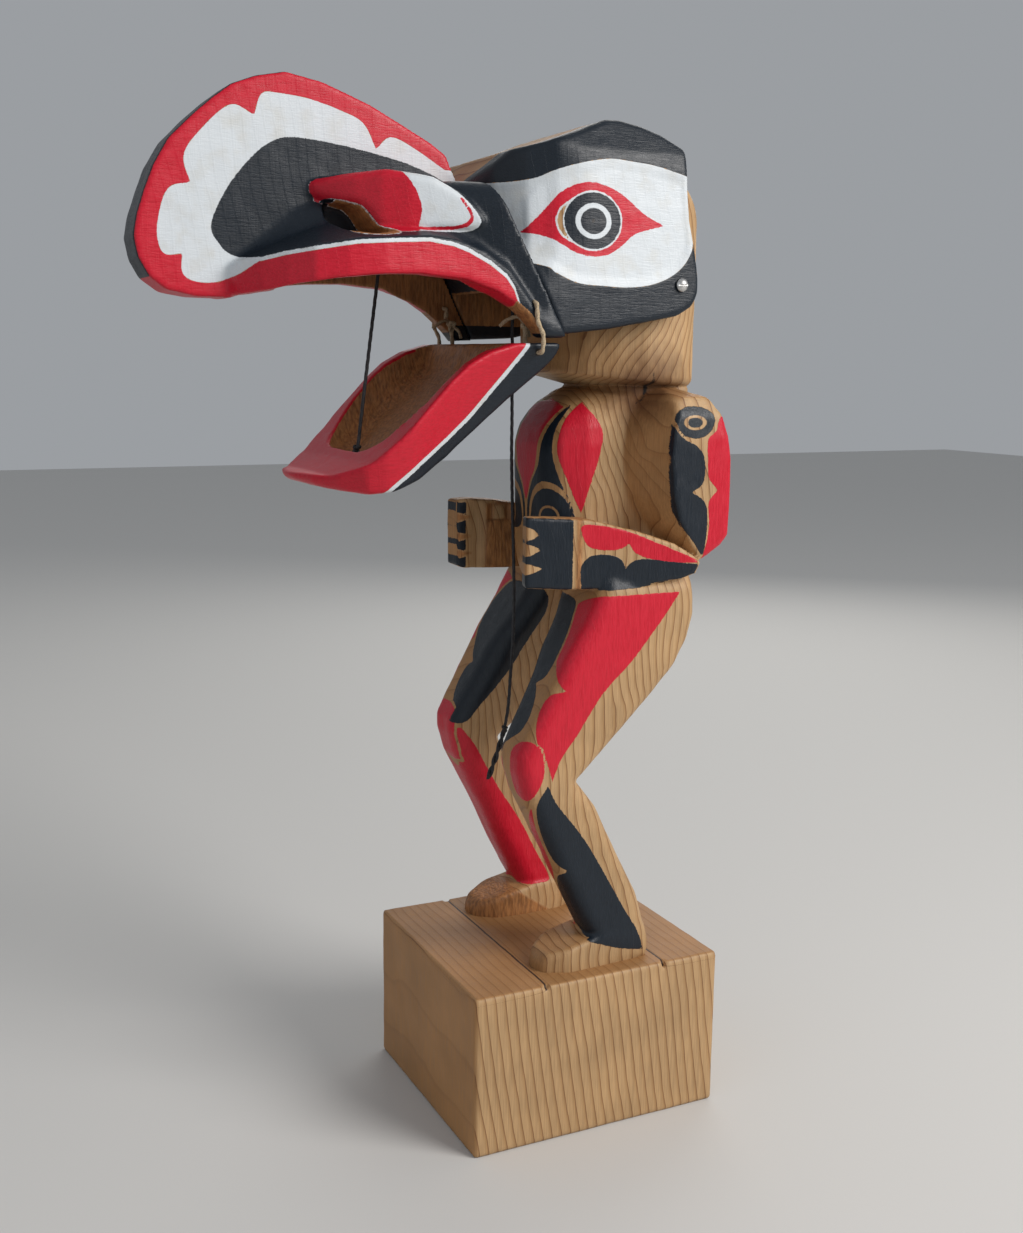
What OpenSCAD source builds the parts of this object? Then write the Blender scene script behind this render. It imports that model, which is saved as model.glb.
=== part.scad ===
// Carved dancer in a bird mask with a string-worked lower beak, on a square block.
// Frame: origin at the centre of the block's underside, +Z up, -Y the way the figure
// looks, +X its left. Heights in the outlines below are measured from the block's top.

/* [Block] */
// Width of the block, side to side
block_w = 113; // [111:1:120]
// Length of the block, front to back
block_l = 125; // [124:1:134]
// Height of the block
block_h = 75; // [50:1:110]
// Width of a saw kerf left in the block's top
kerf_w = 1.2; // [0.8:0.1:2]
// Depth of a saw kerf
kerf_depth = 2; // [1:0.5:5]
// Where the front kerf lies
front_kerf_y = -27.5; // [-40:0.5:-27]
// Where the rear kerf lies
rear_kerf_y = 33.5; // [33:0.5:45]

/* [Mask] */
// Thickness of the crest above the beak
crest_t = 20; // [16:1:24]
// Half width of the mask outside
mask_half = 52; // [51.5:0.5:53]
// Half width of the hollow inside the mask and the beak
hollow_half = 42; // [41.5:0.5:43]
// Half width of the lower beak
jaw_half = 51; // [50:0.5:51]
// Half width of the hollow in the lower beak
jaw_hollow_half = 41; // [36:0.5:42]

/* [Strings and screws] */
// Thickness of the black pull cord
cord_d = 1.6; // [1.2:0.1:1.8]
// Thickness of the twine hinges
twine_d = 2; // [1.6:0.1:2.2]
// Diameter of the holes for the twine
twine_hole_d = 2.8; // [2.6:0.1:3.2]
// Diameter of the mask screws' round heads
screw_head_d = 5.6; // [5:0.1:7]
// Diameter of the mask screws' shanks
screw_d = 3; // [2.5:0.1:3.5]

/* [Hidden] */
$fn = 32;

wood = [0.78, 0.6, 0.38];
red = [0.8, 0.1, 0.17];
black = [0.14, 0.16, 0.2];
white = [0.9, 0.9, 0.9];
twine_tan = [0.74, 0.66, 0.52];
steel = [0.72, 0.72, 0.74];

// The hinge line of the lower beak, [y, height], is the twine's lower pass
hinge = [-33, 276];
// The twine's upper pass through the mask
twine_top = [-36, 296];
twine_x = mask_half + twine_d / 2 + 0.3;
inner_twine_x = hollow_half - 4;
// How far the lower beak swings up before its tip meets the upper lip, in degrees
jaw_swing = 38;
// Where the mask screws go in, [y, height]
screw_at = [34, 305];
screw_len = 24;
screw_head_h = 1.8;
// The upper beak is glued to the hood on this sloping plane, from low to high
glue_low = [-22.5, 283.5];
glue_high = [-57.8, 357];
// Tops of the legs, under the torso and the forearms
hip_h = 173;
// The cord leaves the hollow of the beak here and runs back through a drilled passage
passage_from = [-88, 312.5];
passage_to = [-24, 336.5];
passage_d = 3.4;
knot_at = [-95, 231];
knot_len = 9;
run_top = [-83.2, 314.4];
cord_x = -5;

// Side outlines, [y, height]
left_leg_side = [[2, 12], [-4, 22], [-15, 44], [-20, 55], [-28.5, 72], [-35, 85], [-38, 96],
                 [-38, 103], [-33, 113], [-24.5, 128], [-15.5, 145], [-6, 160], [0, hip_h],
                 [49, hip_h], [49.5, 161], [46.5, 149.5], [40, 138], [23, 120], [5, 102],
                 [-8.5, 89], [2, 76], [9, 62], [25, 31], [32, 9], [32, 0], [2, 0]];
// The right leg is hollowed deeper behind the knee
right_leg_side = [[2, 12], [-4, 22], [-15, 44], [-20, 55], [-28.5, 72], [-35, 85], [-38, 96],
                  [-38, 103], [-33, 113], [-24.5, 128], [-15.5, 145], [-6, 160], [0, hip_h],
                  [49, hip_h], [49.5, 161], [46.5, 149.5], [40, 138], [23, 120], [2, 104],
                  [-13.5, 92.5], [-9.5, 83], [0, 71], [9, 58], [25, 31], [32, 9], [32, 0],
                  [2, 0]];
foot_side = [[-25.5, 0], [-25, 6], [-20, 10], [-8, 13], [6, 16], [32, 16], [32, 0]];
torso_side = [[8, 262], [-3, 255], [-11, 245], [-15, 237], [-15, 226], [-14, 206], [-13, 190],
              [-9, 180], [-3, hip_h], [50, hip_h], [54, 185], [54, 225], [50, 248], [42, 262]];
arm_side = [[31, 231], [32, 244], [35, 256], [44, 263], [49, 262.5], [54, 257], [57.5, 249.5],
            [60.5, 241], [62.3, 231], [62.8, 216], [62, 197], [58.5, 192.5], [47.5, 185.5],
            [43, 192], [36, 204], [33, 214]];
left_forearm_side = [[-34, 207], [-14, 206], [-2, 205], [17, 200], [35, 194], [44, 188.5],
                     [47.5, 185.5], [45, 180.5], [38, 178], [19, 175.5], [-8, 174.5], [-34, 176]];
right_forearm_side = [[-37, 208], [-27, 208.5], [-15, 207.5], [-4, 206], [17, 201], [35, 194.5],
                      [44, 188.5], [47.5, 185.5], [45, 180.5], [38, 178], [19, 175.5],
                      [-8, 174.5], [-30, 175.5], [-37, 178]];
head_side = [[-2, 262], [-9, 266], [-13, 276], [-13, 340], [-8, 349], [42, 349], [50, 342],
             [58, 330], [61, 310], [61, 274], [56, 262]];
hood_side = [glue_low, [-12, 284.5], [0, 286], [17, 289], [33, 292], [40, 296], [44, 302], [44, 308],
             [41, 319], [38, 332], [36, 350], [36, 361], [26, 366.5], [17, 369.5], [7, 371.5],
             [0, 371], [-15, 365], [-29, 360], [-40, 357], [-49, 348], [-51.5, 344]];
hood_hollow_side = [[-30, 270], [-31, 304], [-34, 336], [-22, 346], [-14, 350.5], [70, 350.5],
                    [70, 270]];
crest_side = [[-51.1, 343], glue_high, [-64, 361], [-78, 368], [-91, 374], [-111, 381],
              [-126, 383.5], [-138, 381], [-148, 377], [-156, 371], [-164, 364], [-173, 355],
              [-179, 345], [-183, 335], [-186, 326], [-187.5, 318], [-186, 310], [-182, 303],
              [-175, 298], [-164, 296], [-150, 296], [-120, 310], [-60, 322]];
lip_side = [[-153, 296], [-142, 298], [-130, 301], [-118, 303], [-100, 305], [-85, 305.5],
            [-66, 304], [-53, 300], [-44, 295.3], [-39, 291.5], [-35, 287.5], [-31.5, 283.5],
            glue_low, [-40.8, 321.5], [-60, 324],
            [-95, 323], [-120, 319], [-140, 313], [-153, 309]];
cheek_side = [[-150, 300], [-60, 310], [-37.4, 314.5], [-51.1, 343], [-62, 344], [-95, 343],
              [-122, 339], [-140, 330], [-152, 318]];
beak_hollow_side = [[-134, 280], [-131, 304], [-118, 313], [-100, 318], [-60, 320], [-30, 319],
                    [0, 300], [0, 270]];
jaw_side = [[-22, 280], [-43, 279.5], [-55, 276], [-64, 271], [-71, 265], [-80, 255.5],
            [-93, 241.5], [-104, 231.5], [-116, 226], [-127, 226], [-126, 223.5], [-117, 220.5],
            [-103, 218.5], [-92, 219.5], [-81, 224], [-68, 233], [-56, 244], [-41, 258],
            [-31, 267], [-23, 275]];
jaw_hollow_side = [[-111, 232], [-104, 228], [-95, 229], [-84, 235], [-75, 243], [-55, 261],
                   [-45, 269], [-39, 281], [-39, 300], [-111, 300]];

// Plan outlines of the left half, [x, y]
foot_plan = [[29, -23], [36, -25.5], [43, -23], [48, -12], [49, 5], [48, 22], [44, 30], [36, 32],
             [28, 30], [23, 20], [22, 0], [23, -14]];
torso_plan = [[0, -16], [12, -14], [22, -7], [28, 6], [32, 20], [37, 32], [37, 50], [30, 54],
              [0, 54]];
left_forearm_plan = [[54, 56], [54, 46], [38.4, -32], [29.5, -29.5], [30, -8], [28, 6],
                     [32, 20], [37, 32], [37, 56]];
right_forearm_plan = [[54, 56], [54, 46], [39.5, -35], [30, -33.5], [30, -8], [28, 6],
                      [32, 20], [37, 32], [37, 56]];
head_plan = [[0, -13], [10, -11.5], [20, -7], [29, 1], [36, 12], [40, 26], [40, 44], [36, 51],
             [28, 56], [15, 60], [0, 61]];
hood_plan = [[0, -58], [10, -58], [16, -54], [32, -46], [43, -36], [49, -25], [mask_half, -12],
             [mask_half, 42], [mask_half - 2, 44], [0, 44]];
lip_plan = [[0, -153], [9, -152], [18, -148], [28, -141], [38, -133], [45, -125], [49, -115],
            [51, -100], [mask_half - 0.5, -60], [mask_half, -17], [0, -17]];
cheek_plan = [[0, -152], [10, -150], [12, -135], [18, -118], [27, -100], [36, -82], [42, -64],
              [47, -48], [mask_half, -34], [0, -34]];
beak_hollow_plan = [[0, -134], [12, -133], [26, -127], [36, -117], [hollow_half, -100],
                    [hollow_half, 0], [0, 0]];
jaw_plan = [[0, -127], [5, -126.5], [20, -122], [33, -115], [43, -107], [48, -99],
            [jaw_half, -88], [jaw_half, -22], [0, -22]];
jaw_hollow_plan = [[0, -111], [18, -109], [30, -102], [37, -92], [jaw_hollow_half, -78],
                   [jaw_hollow_half, -39], [0, -39]];

// Front outlines of the left half, [x, height]
leg_front = [[24, 0], [47, 0], [47, 60], [49, 95], [50, 140], [49, hip_h], [9, hip_h], [15, 155],
             [20, 135], [22, 95], [24, 40]];
torso_front = [[0, hip_h], [41, hip_h], [38, 190], [37, 200], [37, 244], [34, 256], [28, 262],
               [0, 262]];
arm_front = [[37, 180], [52, 182], [54, 194], [54, 240], [53, 250], [49, 258], [40, 264],
             [37, 264]];
hood_front = [[0, 284], [mask_half, 284], [mask_half, 350], [50, 358], [42, 374], [0, 374]];

// The hanging cord's route, [x, y, height], from inside the mask down to the doubled end
pull_route = [[cord_x, -18.3, 327], [cord_x, -18.3, 312], [cord_x, -18.3, 296],
              [cord_x, -18.3, 280], [cord_x, -18.2, 264], [cord_x, -18, 248],
              [cord_x, -18, 232], [cord_x, -17.6, 216], [cord_x, -17, 200],
              [cord_x, -16.4, 184], [cord_x, -16, 168], [cord_x, -16, 152],
              [cord_x, -16.6, 138], [cord_x, -17.4, 126], [cord_x, -18, 116],
              [cord_x, -18.8, 109], [cord_x, -20, 103]];
end_route = [[cord_x, -20, 103], [cord_x, -21, 99], [cord_x, -22.6, 94], [cord_x, -24.8, 88],
             [cord_x, -27, 82], [cord_x, -28.5, 78.5]];
inner_route = [[0, -83.2, 314.6], [0, -82.9, 315.9], [0, -82, 316.9], [-0.2, -80.5, 317.4],
               [-0.5, -74, 318.2], [-1, -66, 320.8], [-2, -52, 326], [-3, -40, 330.5],
               [-4, -31, 333.8], [-4.6, -25.5, 334.8], [-4.9, -21, 333.5], [-5, -18.9, 331],
               [-5, -18.3, 328.6], [-5, -18.3, 327]];

// Shapes drawn from outlines. A half outline starts and ends on the mid plane.
function both_halves(half) =
    concat(half, [for (i = [len(half) - 2 : -1 : 1]) [-half[i][0], half[i][1]]]);
module side_cut(outline, half) {
    translate([-half, 0, block_h]) rotate([90, 0, 90]) linear_extrude(2 * half) polygon(outline);
}
module plan_cut(outline, low = 0, high = 400) {
    translate([0, 0, block_h + low]) linear_extrude(high - low) polygon(both_halves(outline));
}
module front_cut(outline) {
    translate([0, 100, block_h])
        rotate([90, 0, 0]) linear_extrude(300) polygon(both_halves(outline));
}
module left_plan_cut(outline, low = 0, high = 400) {
    translate([0, 0, block_h + low]) linear_extrude(high - low) polygon(outline);
}
module left_front_cut(outline) {
    translate([0, 100, block_h]) rotate([90, 0, 0]) linear_extrude(200) polygon(outline);
}
// A straight rod between two points of the mid plane, each [y, height]
module mid_rod(a, b, d, x_a = 0, x_b = 0) {
    run = [x_b - x_a, b[0] - a[0], b[1] - a[1]];
    translate([x_a, a[0], block_h + a[1]])
        rotate([0, acos(run[2] / norm(run)), atan2(run[1], run[0])])
        cylinder(h = norm(run), d = d, $fn = 24);
}
// A rod across the figure at [y, height], from x_a to x_b
module cross_rod(at, x_a, x_b, d) {
    translate([min(x_a, x_b), at[0], block_h + at[1]])
        rotate([0, 90, 0]) cylinder(h = abs(x_b - x_a), d = d, $fn = 24);
}

// A tube swept along a route, closed at both ends, as one polyhedron
function unit(v) = v / norm(v);
function along(route, i) = unit(route[min(i + 1, len(route) - 1)] - route[max(i - 1, 0)]);
function ring(centre, dir, radius, sides) =
    let (side = [1, 0, 0], up = unit(cross(dir, side)), out = cross(up, dir))
    [for (k = [0 : sides - 1])
        centre + radius * (cos(360 * k / sides) * out + sin(360 * k / sides) * up)];
module tube(route, d, sides = 8) {
    rings = len(route);
    points = [for (i = [0 : rings - 1]) each ring(route[i], along(route, i), d / 2, sides)];
    walls = [for (i = [0 : rings - 2]) for (k = [0 : sides - 1])
        let (a = i * sides + k, b = i * sides + (k + 1) % sides) [a, a + sides, b + sides, b]];
    caps = [[for (k = [0 : sides - 1]) k],
            [for (k = [sides - 1 : -1 : 0]) (rings - 1) * sides + k]];
    translate([0, 0, block_h]) polyhedron(points, concat(walls, caps));
}

module base_block() {
    color(wood) difference() {
        translate([-block_w / 2, -block_l / 2, 0]) cube([block_w, block_l, block_h]);
        for (y = [front_kerf_y, rear_kerf_y])
            translate([-block_w, y - kerf_w / 2, block_h - kerf_depth])
                cube([2 * block_w, kerf_w, 2 * kerf_depth]);
    }
}

module leg(outline) {
    intersection() {
        side_cut(outline, 60);
        left_front_cut(leg_front);
    }
    intersection() {
        side_cut(foot_side, 60);
        left_plan_cut(foot_plan, 0, 20);
    }
}
module left_leg() {
    color(wood) union() leg(left_leg_side);
}
module right_leg() {
    color(wood) mirror([1, 0, 0]) union() leg(right_leg_side);
}

module torso() {
    color(wood) intersection() {
        side_cut(torso_side, 60);
        plan_cut(torso_plan);
        front_cut(torso_front);
    }
}

module upper_arm() {
    intersection() {
        side_cut(arm_side, 60);
        left_front_cut(arm_front);
    }
}
module left_upper_arm() {
    color(red) upper_arm();
}
module right_upper_arm() {
    color(red) mirror([1, 0, 0]) upper_arm();
}

// A forearm and its upright hand
module forearm(side_outline, plan_outline) {
    intersection() {
        side_cut(side_outline, 60);
        left_plan_cut(plan_outline);
    }
}
module left_forearm() {
    color(black) forearm(left_forearm_side, left_forearm_plan);
}
module right_forearm() {
    color(black) mirror([1, 0, 0]) forearm(right_forearm_side, right_forearm_plan);
}

// The plain head that the mask is pushed over, above the neck groove
module head_block() {
    color(wood) difference() {
        intersection() {
            side_cut(head_side, 60);
            plan_cut(head_plan);
        }
        cross_rod(screw_at, 26, 60, screw_d + 0.2);
        cross_rod(screw_at, -60, -26, screw_d + 0.2);
    }
}

module cord_passage() {
    mid_rod(passage_from, passage_to, passage_d, 0, -4.6);
}
module twine_holes(at) {
    cross_rod(at, inner_twine_x - 2, 60, twine_hole_d);
    cross_rod(at, -60, -inner_twine_x + 2, twine_hole_d);
}

// The hood over the head: hollow, open below and behind
module mask_hood() {
    color(white) difference() {
        intersection() {
            side_cut(hood_side, 60);
            plan_cut(hood_plan);
            front_cut(hood_front);
        }
        side_cut(hood_hollow_side, hollow_half);
        cross_rod(screw_at, 30, 60, screw_d + 0.2);
        cross_rod(screw_at, -60, -30, screw_d + 0.2);
        cord_passage();
    }
}

// The upper beak with its tall crest, hollow underneath and glued to the hood
module upper_beak() {
    color(red) difference() {
        union() {
            side_cut(crest_side, crest_t / 2);
            intersection() {
                side_cut(lip_side, 60);
                plan_cut(lip_plan);
            }
            intersection() {
                side_cut(cheek_side, 60);
                plan_cut(cheek_plan);
            }
        }
        intersection() {
            side_cut(beak_hollow_side, hollow_half);
            plan_cut(beak_hollow_plan);
        }
        twine_holes(twine_top);
        cord_passage();
    }
}

// The slot that lets the inner run of twine swing in the lower beak as it closes
module twine_slot(side) {
    half_w = twine_hole_d / 2;
    reach = 14;
    // the twine leans forward at rest, before the beak swings
    lean = atan2(hinge[0] - twine_top[0], twine_top[1] - hinge[1]);
    swing = lean + jaw_swing + 5;
    translate([side * inner_twine_x - half_w, 0, block_h]) rotate([90, 0, 90])
        linear_extrude(twine_hole_d)
        translate(hinge) polygon([[half_w, 0], [half_w, reach], [-half_w, reach],
                                  [-reach * sin(swing) - half_w, reach * cos(swing)],
                                  [-half_w, 0]]);
}

module lower_beak() {
    color(red) difference() {
        intersection() {
            side_cut(jaw_side, 60);
            plan_cut(jaw_plan);
        }
        intersection() {
            side_cut(jaw_hollow_side, 60);
            plan_cut(jaw_hollow_plan);
        }
        twine_holes(hinge);
        twine_slot(1);
        twine_slot(-1);
    }
}

// One length of twine: through the mask, down outside, through the beak, knotted inside
module hinge_twine(side) {
    inner_x = inner_twine_x;
    color(twine_tan) union() {
        cross_rod(twine_top, side * inner_x, side * twine_x, twine_d);
        cross_rod(hinge, side * inner_x, side * twine_x, twine_d);
        translate([side * twine_x, 0, 0]) mid_rod(hinge, twine_top, twine_d);
        translate([side * inner_x, 0, 0]) mid_rod(hinge, twine_top, twine_d);
        for (end = [hinge, twine_top], x = [inner_x, twine_x])
            translate([side * x, end[0], block_h + end[1]]) sphere(d = twine_d, $fn = 24);
        translate([side * inner_x, hinge[0], block_h + hinge[1] + 12]) sphere(d = 6.4, $fn = 24);
    }
}
module left_hinge_twine() {
    hinge_twine(1);
}
module right_hinge_twine() {
    hinge_twine(-1);
}

// A round-headed screw with a slot, through the hood into the head
module mask_screw(side) {
    color(steel) difference() {
        union() {
            cross_rod(screw_at, side * (mask_half - screw_len), side * (mask_half + 0.5), screw_d);
            intersection() {
                translate([side * (mask_half - 1.2), screw_at[0], block_h + screw_at[1]])
                    sphere(r = screw_head_h + 1.45, $fn = 32);
                cross_rod(screw_at, side * mask_half, side * (mask_half + 4), screw_head_d);
            }
        }
        translate([side * (mask_half + screw_head_h), screw_at[0], block_h + screw_at[1]])
            cube([1.6, 8, 0.8], center = true);
    }
}
module left_mask_screw() {
    mirror([1, 0, 0]) right_mask_screw();
}
module right_mask_screw() {
    mask_screw(-1);
}

module jaw_cord_knot() {
    color(black) mid_rod(knot_at, knot_at + [1.8, knot_len], 4.4);
}
module cord_front_run() {
    color(black) mid_rod(knot_at + [1.8, knot_len], run_top, cord_d);
}
module cord_inner_run() {
    color(black) tube(inner_route, cord_d);
}
module pull_cord() {
    color(black) tube(pull_route, cord_d);
}
// The cord's end, doubled back on itself as a thicker tail to hold
module pull_cord_end() {
    color(black) tube(end_route, 2 * cord_d);
}

base_block();
left_leg();
right_leg();
torso();
left_upper_arm();
right_upper_arm();
left_forearm();
right_forearm();
head_block();
mask_hood();
upper_beak();
lower_beak();
left_hinge_twine();
right_hinge_twine();
left_mask_screw();
right_mask_screw();
jaw_cord_knot();
cord_front_run();
cord_inner_run();
pull_cord();
pull_cord_end();
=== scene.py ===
"""Carved and painted cedar dancer in a bird mask: the looks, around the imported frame.

Lengths are millimetres until a mesh is made: x to the figure's left, y to its back. Heights
are measured from the top of the block, as in the CAD. The five carved pieces are cut from
fields of signed distance (negative inside the wood) and then meshed, and their paint is stored
on the mesh as signed distances to the edge of each colour.
"""
import math

import bpy
import numpy as np
from mathutils import Matrix, Vector


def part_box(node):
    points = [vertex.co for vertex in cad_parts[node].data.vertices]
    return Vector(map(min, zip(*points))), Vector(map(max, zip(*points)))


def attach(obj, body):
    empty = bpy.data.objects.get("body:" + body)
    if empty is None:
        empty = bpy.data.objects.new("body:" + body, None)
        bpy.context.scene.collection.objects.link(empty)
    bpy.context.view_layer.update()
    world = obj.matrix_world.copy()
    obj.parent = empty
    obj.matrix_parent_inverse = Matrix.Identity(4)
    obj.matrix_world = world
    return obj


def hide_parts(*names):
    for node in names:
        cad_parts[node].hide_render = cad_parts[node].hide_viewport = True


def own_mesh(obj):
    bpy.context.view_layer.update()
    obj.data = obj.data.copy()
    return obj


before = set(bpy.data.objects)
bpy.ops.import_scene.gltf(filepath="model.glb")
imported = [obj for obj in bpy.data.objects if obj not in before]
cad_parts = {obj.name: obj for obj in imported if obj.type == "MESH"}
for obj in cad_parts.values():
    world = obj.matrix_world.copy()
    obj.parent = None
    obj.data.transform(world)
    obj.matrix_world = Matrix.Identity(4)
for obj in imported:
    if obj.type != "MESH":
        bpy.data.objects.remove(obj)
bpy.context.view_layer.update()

MM = 0.001
BLOCK_LOW, BLOCK_HIGH = [np.array(corner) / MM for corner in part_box("base_block")]
BLOCK_TOP = BLOCK_HIGH[2]


def in_frame(x, y, height):
    """A point of the frame in metres, from millimetres with the height above the block."""
    return Vector((x, y, height + BLOCK_TOP)) * MM


# ---------------------------------------------------------------- camera, floor and lights

CAMERA_AT = in_frame(570.4, -300.6, 272.2)
CAMERA_AZIMUTH = math.radians(63.77)
CAMERA_PITCH = math.radians(10.31)
CAMERA_ROLL = math.radians(0.66)
CAMERA_LENS = 40.93


def make_camera():
    data = bpy.data.cameras.new("camera")
    data.lens = CAMERA_LENS
    data.sensor_width = 36
    data.clip_start = 0.01
    camera = bpy.data.objects.new("camera", data)
    bpy.context.scene.collection.objects.link(camera)
    level = Matrix.Rotation(CAMERA_AZIMUTH, 4, "Z") @ Matrix.Rotation(math.pi / 2, 4, "X")
    tilt = Matrix.Rotation(-CAMERA_PITCH, 4, "X") @ Matrix.Rotation(CAMERA_ROLL, 4, "Z")
    camera.matrix_world = Matrix.Translation(CAMERA_AT) @ level @ tilt
    bpy.context.scene.camera = camera


def make_floor():
    bpy.ops.mesh.primitive_plane_add(size=8, location=(0, 0, BLOCK_LOW[2] * MM))
    floor = bpy.context.object
    floor.name = "floor"
    material, shader, _ = new_material("floor_paper")
    shader.inputs["Base Color"].default_value = (0.62, 0.61, 0.59, 1)
    shader.inputs["Roughness"].default_value = 0.85
    floor.data.materials.append(material)


def make_light(name, at, size, power, colour):
    data = bpy.data.lights.new(name, "AREA")
    data.shape = "DISK"
    data.size = size
    data.energy = power
    data.color = colour
    light = bpy.data.objects.new(name, data)
    light.location = at
    light.rotation_euler = (Vector((0, 0, 0.24)) - Vector(at)).to_track_quat("-Z", "Y").to_euler()
    bpy.context.scene.collection.objects.link(light)


def make_lights():
    bpy.context.scene.view_settings.view_transform = "Standard"
    world = bpy.data.worlds.new("studio")
    world.use_nodes = True
    world.node_tree.nodes["Background"].inputs["Color"].default_value = (0.86, 0.9, 0.95, 1)
    world.node_tree.nodes["Background"].inputs["Strength"].default_value = 0.38
    bpy.context.scene.world = world
    make_light("window", (1.1, 0.75, 1.0), 0.9, 21.5, (1.0, 0.97, 0.94))
    make_light("room", (0.7, -1.1, 0.7), 1.3, 1.5, (0.9, 0.95, 1.0))
    make_light("behind", (-1.0, 0.8, 0.9), 1.2, 5, (1.0, 0.97, 0.92))


# ---------------------------------------------------------------- carving with distances

STEP = 1.1


def along_curve(before, here, there, after, t):
    """A place on the smooth curve from here to there, where t runs from 0 to 1."""
    return 0.5 * (2 * here + (there - before) * t
                  + (2 * before - 5 * here + 4 * there - after) * t ** 2
                  + (3 * here - before - 3 * there + after) * t ** 3)


def curved(points, steps=6):
    """A closed smooth outline through the points; a third number marks a sharp corner."""
    points = [tuple(p) for p in points]
    count = len(points)
    place = np.array([p[:2] for p in points], float)
    sharp = [len(p) > 2 for p in points]
    out = []
    for i in range(count):
        j = (i + 1) % count
        here, there = place[i], place[j]
        before = 2 * here - there if sharp[i] else place[i - 1]
        after = 2 * there - here if sharp[j] else place[(j + 1) % count]
        for t in np.arange(steps) / steps:
            out.append(along_curve(before, here, there, after, t))
    return out


def outline_distance(outline, u, v):
    """Signed distance to a closed outline in a plane, negative inside."""
    corners = np.asarray(outline, float)
    u, v = np.broadcast_arrays(u, v)
    nearest = np.full(u.shape, np.inf)
    inside = np.zeros(u.shape, bool)
    for a, b in zip(corners, np.roll(corners, -1, axis=0)):
        edge = b - a
        length = edge @ edge
        if length == 0:
            continue
        t = np.clip(((u - a[0]) * edge[0] + (v - a[1]) * edge[1]) / length, 0, 1)
        nearest = np.minimum(nearest, (u - a[0] - t * edge[0]) ** 2 + (v - a[1] - t * edge[1]) ** 2)
        if edge[1] != 0:
            crossing = a[0] + (v - a[1]) * edge[0] / edge[1]
            inside ^= ((a[1] <= v) != (b[1] <= v)) & (u < crossing)
    return np.where(inside, -1, 1) * np.sqrt(nearest)


def softened(distance, passes):
    """The field of an outline with its corners blurred a little."""
    for _ in range(passes):
        for axis in (0, 1):
            padded = np.pad(distance, [(1, 1) if i == axis else (0, 0) for i in (0, 1)], "edge")
            middle = np.take(padded, range(1, padded.shape[axis] - 1), axis)
            low = np.take(padded, range(0, padded.shape[axis] - 2), axis)
            high = np.take(padded, range(2, padded.shape[axis]), axis)
            distance = (low + 2 * middle + high) / 4
    return distance


class Blank:
    """A box of sample points. Its views give the field of an outline cut straight through."""

    def __init__(self, low, high, step=STEP):
        self.low = np.array(low, float)
        self.step = step
        self.x, self.y, self.z = [np.arange(a, b + step, step) for a, b in zip(low, high)]

    def side(self, outline, passes=0):
        field = outline_distance(outline, self.y[:, None], self.z[None, :])
        return softened(field, passes).astype(np.float32)[None, :, :]

    def plan(self, half_outline, passes=0):
        outline = closed_half(half_outline)
        field = outline_distance(outline, abs(self.x)[:, None], self.y[None, :])
        return softened(field, passes).astype(np.float32)[:, :, None]

    def front(self, half_outline, passes=0):
        outline = closed_half(half_outline)
        field = outline_distance(outline, abs(self.x)[:, None], self.z[None, :])
        return softened(field, passes).astype(np.float32)[:, None, :]

    def grid(self):
        return self.x[:, None, None], self.y[None, :, None], self.z[None, None, :]


def closed_half(half):
    """A half outline that starts or ends on the mid plane, carried past it."""
    return [(-40 if p[0] == 0 else p[0], p[1]) for p in half]


def meet(a, b, r):
    """Where both fields are, with the edge between them rounded to the radius r."""
    corner = np.sqrt(np.maximum(a + r, 0) ** 2 + np.maximum(b + r, 0) ** 2)
    return np.minimum(np.maximum(a, b), -r) + corner


def join(a, b, r):
    """Where either field is, with a fillet of radius r between them."""
    corner = np.sqrt(np.maximum(r - a, 0) ** 2 + np.maximum(r - b, 0) ** 2)
    return np.maximum(np.minimum(a, b), r) - corner


def cut(a, b, r):
    return meet(a, -b, r)


def slope(points, at):
    """Height of a line through [place, height] points."""
    places, heights = zip(*points)
    return np.interp(at, places, heights)


CORNERS = [np.array((i, j, k)) for i in (0, 1) for j in (0, 1) for k in (0, 1)]
CELL_EDGES = [(a, b) for a in CORNERS for b in CORNERS if (b - a).sum() == 1 and (b - a).min() == 0]


def sampled(field, at):
    """The field at places between its samples, counted in steps."""
    at = np.clip(at, 0, np.array(field.shape) - 1.001)
    base = at.astype(int)
    part = at - base
    total = 0
    for corner in CORNERS:
        weight = np.prod(np.where(corner, part, 1 - part), axis=1)
        total = total + weight * field[tuple((base + corner).T)]
    return total


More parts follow.
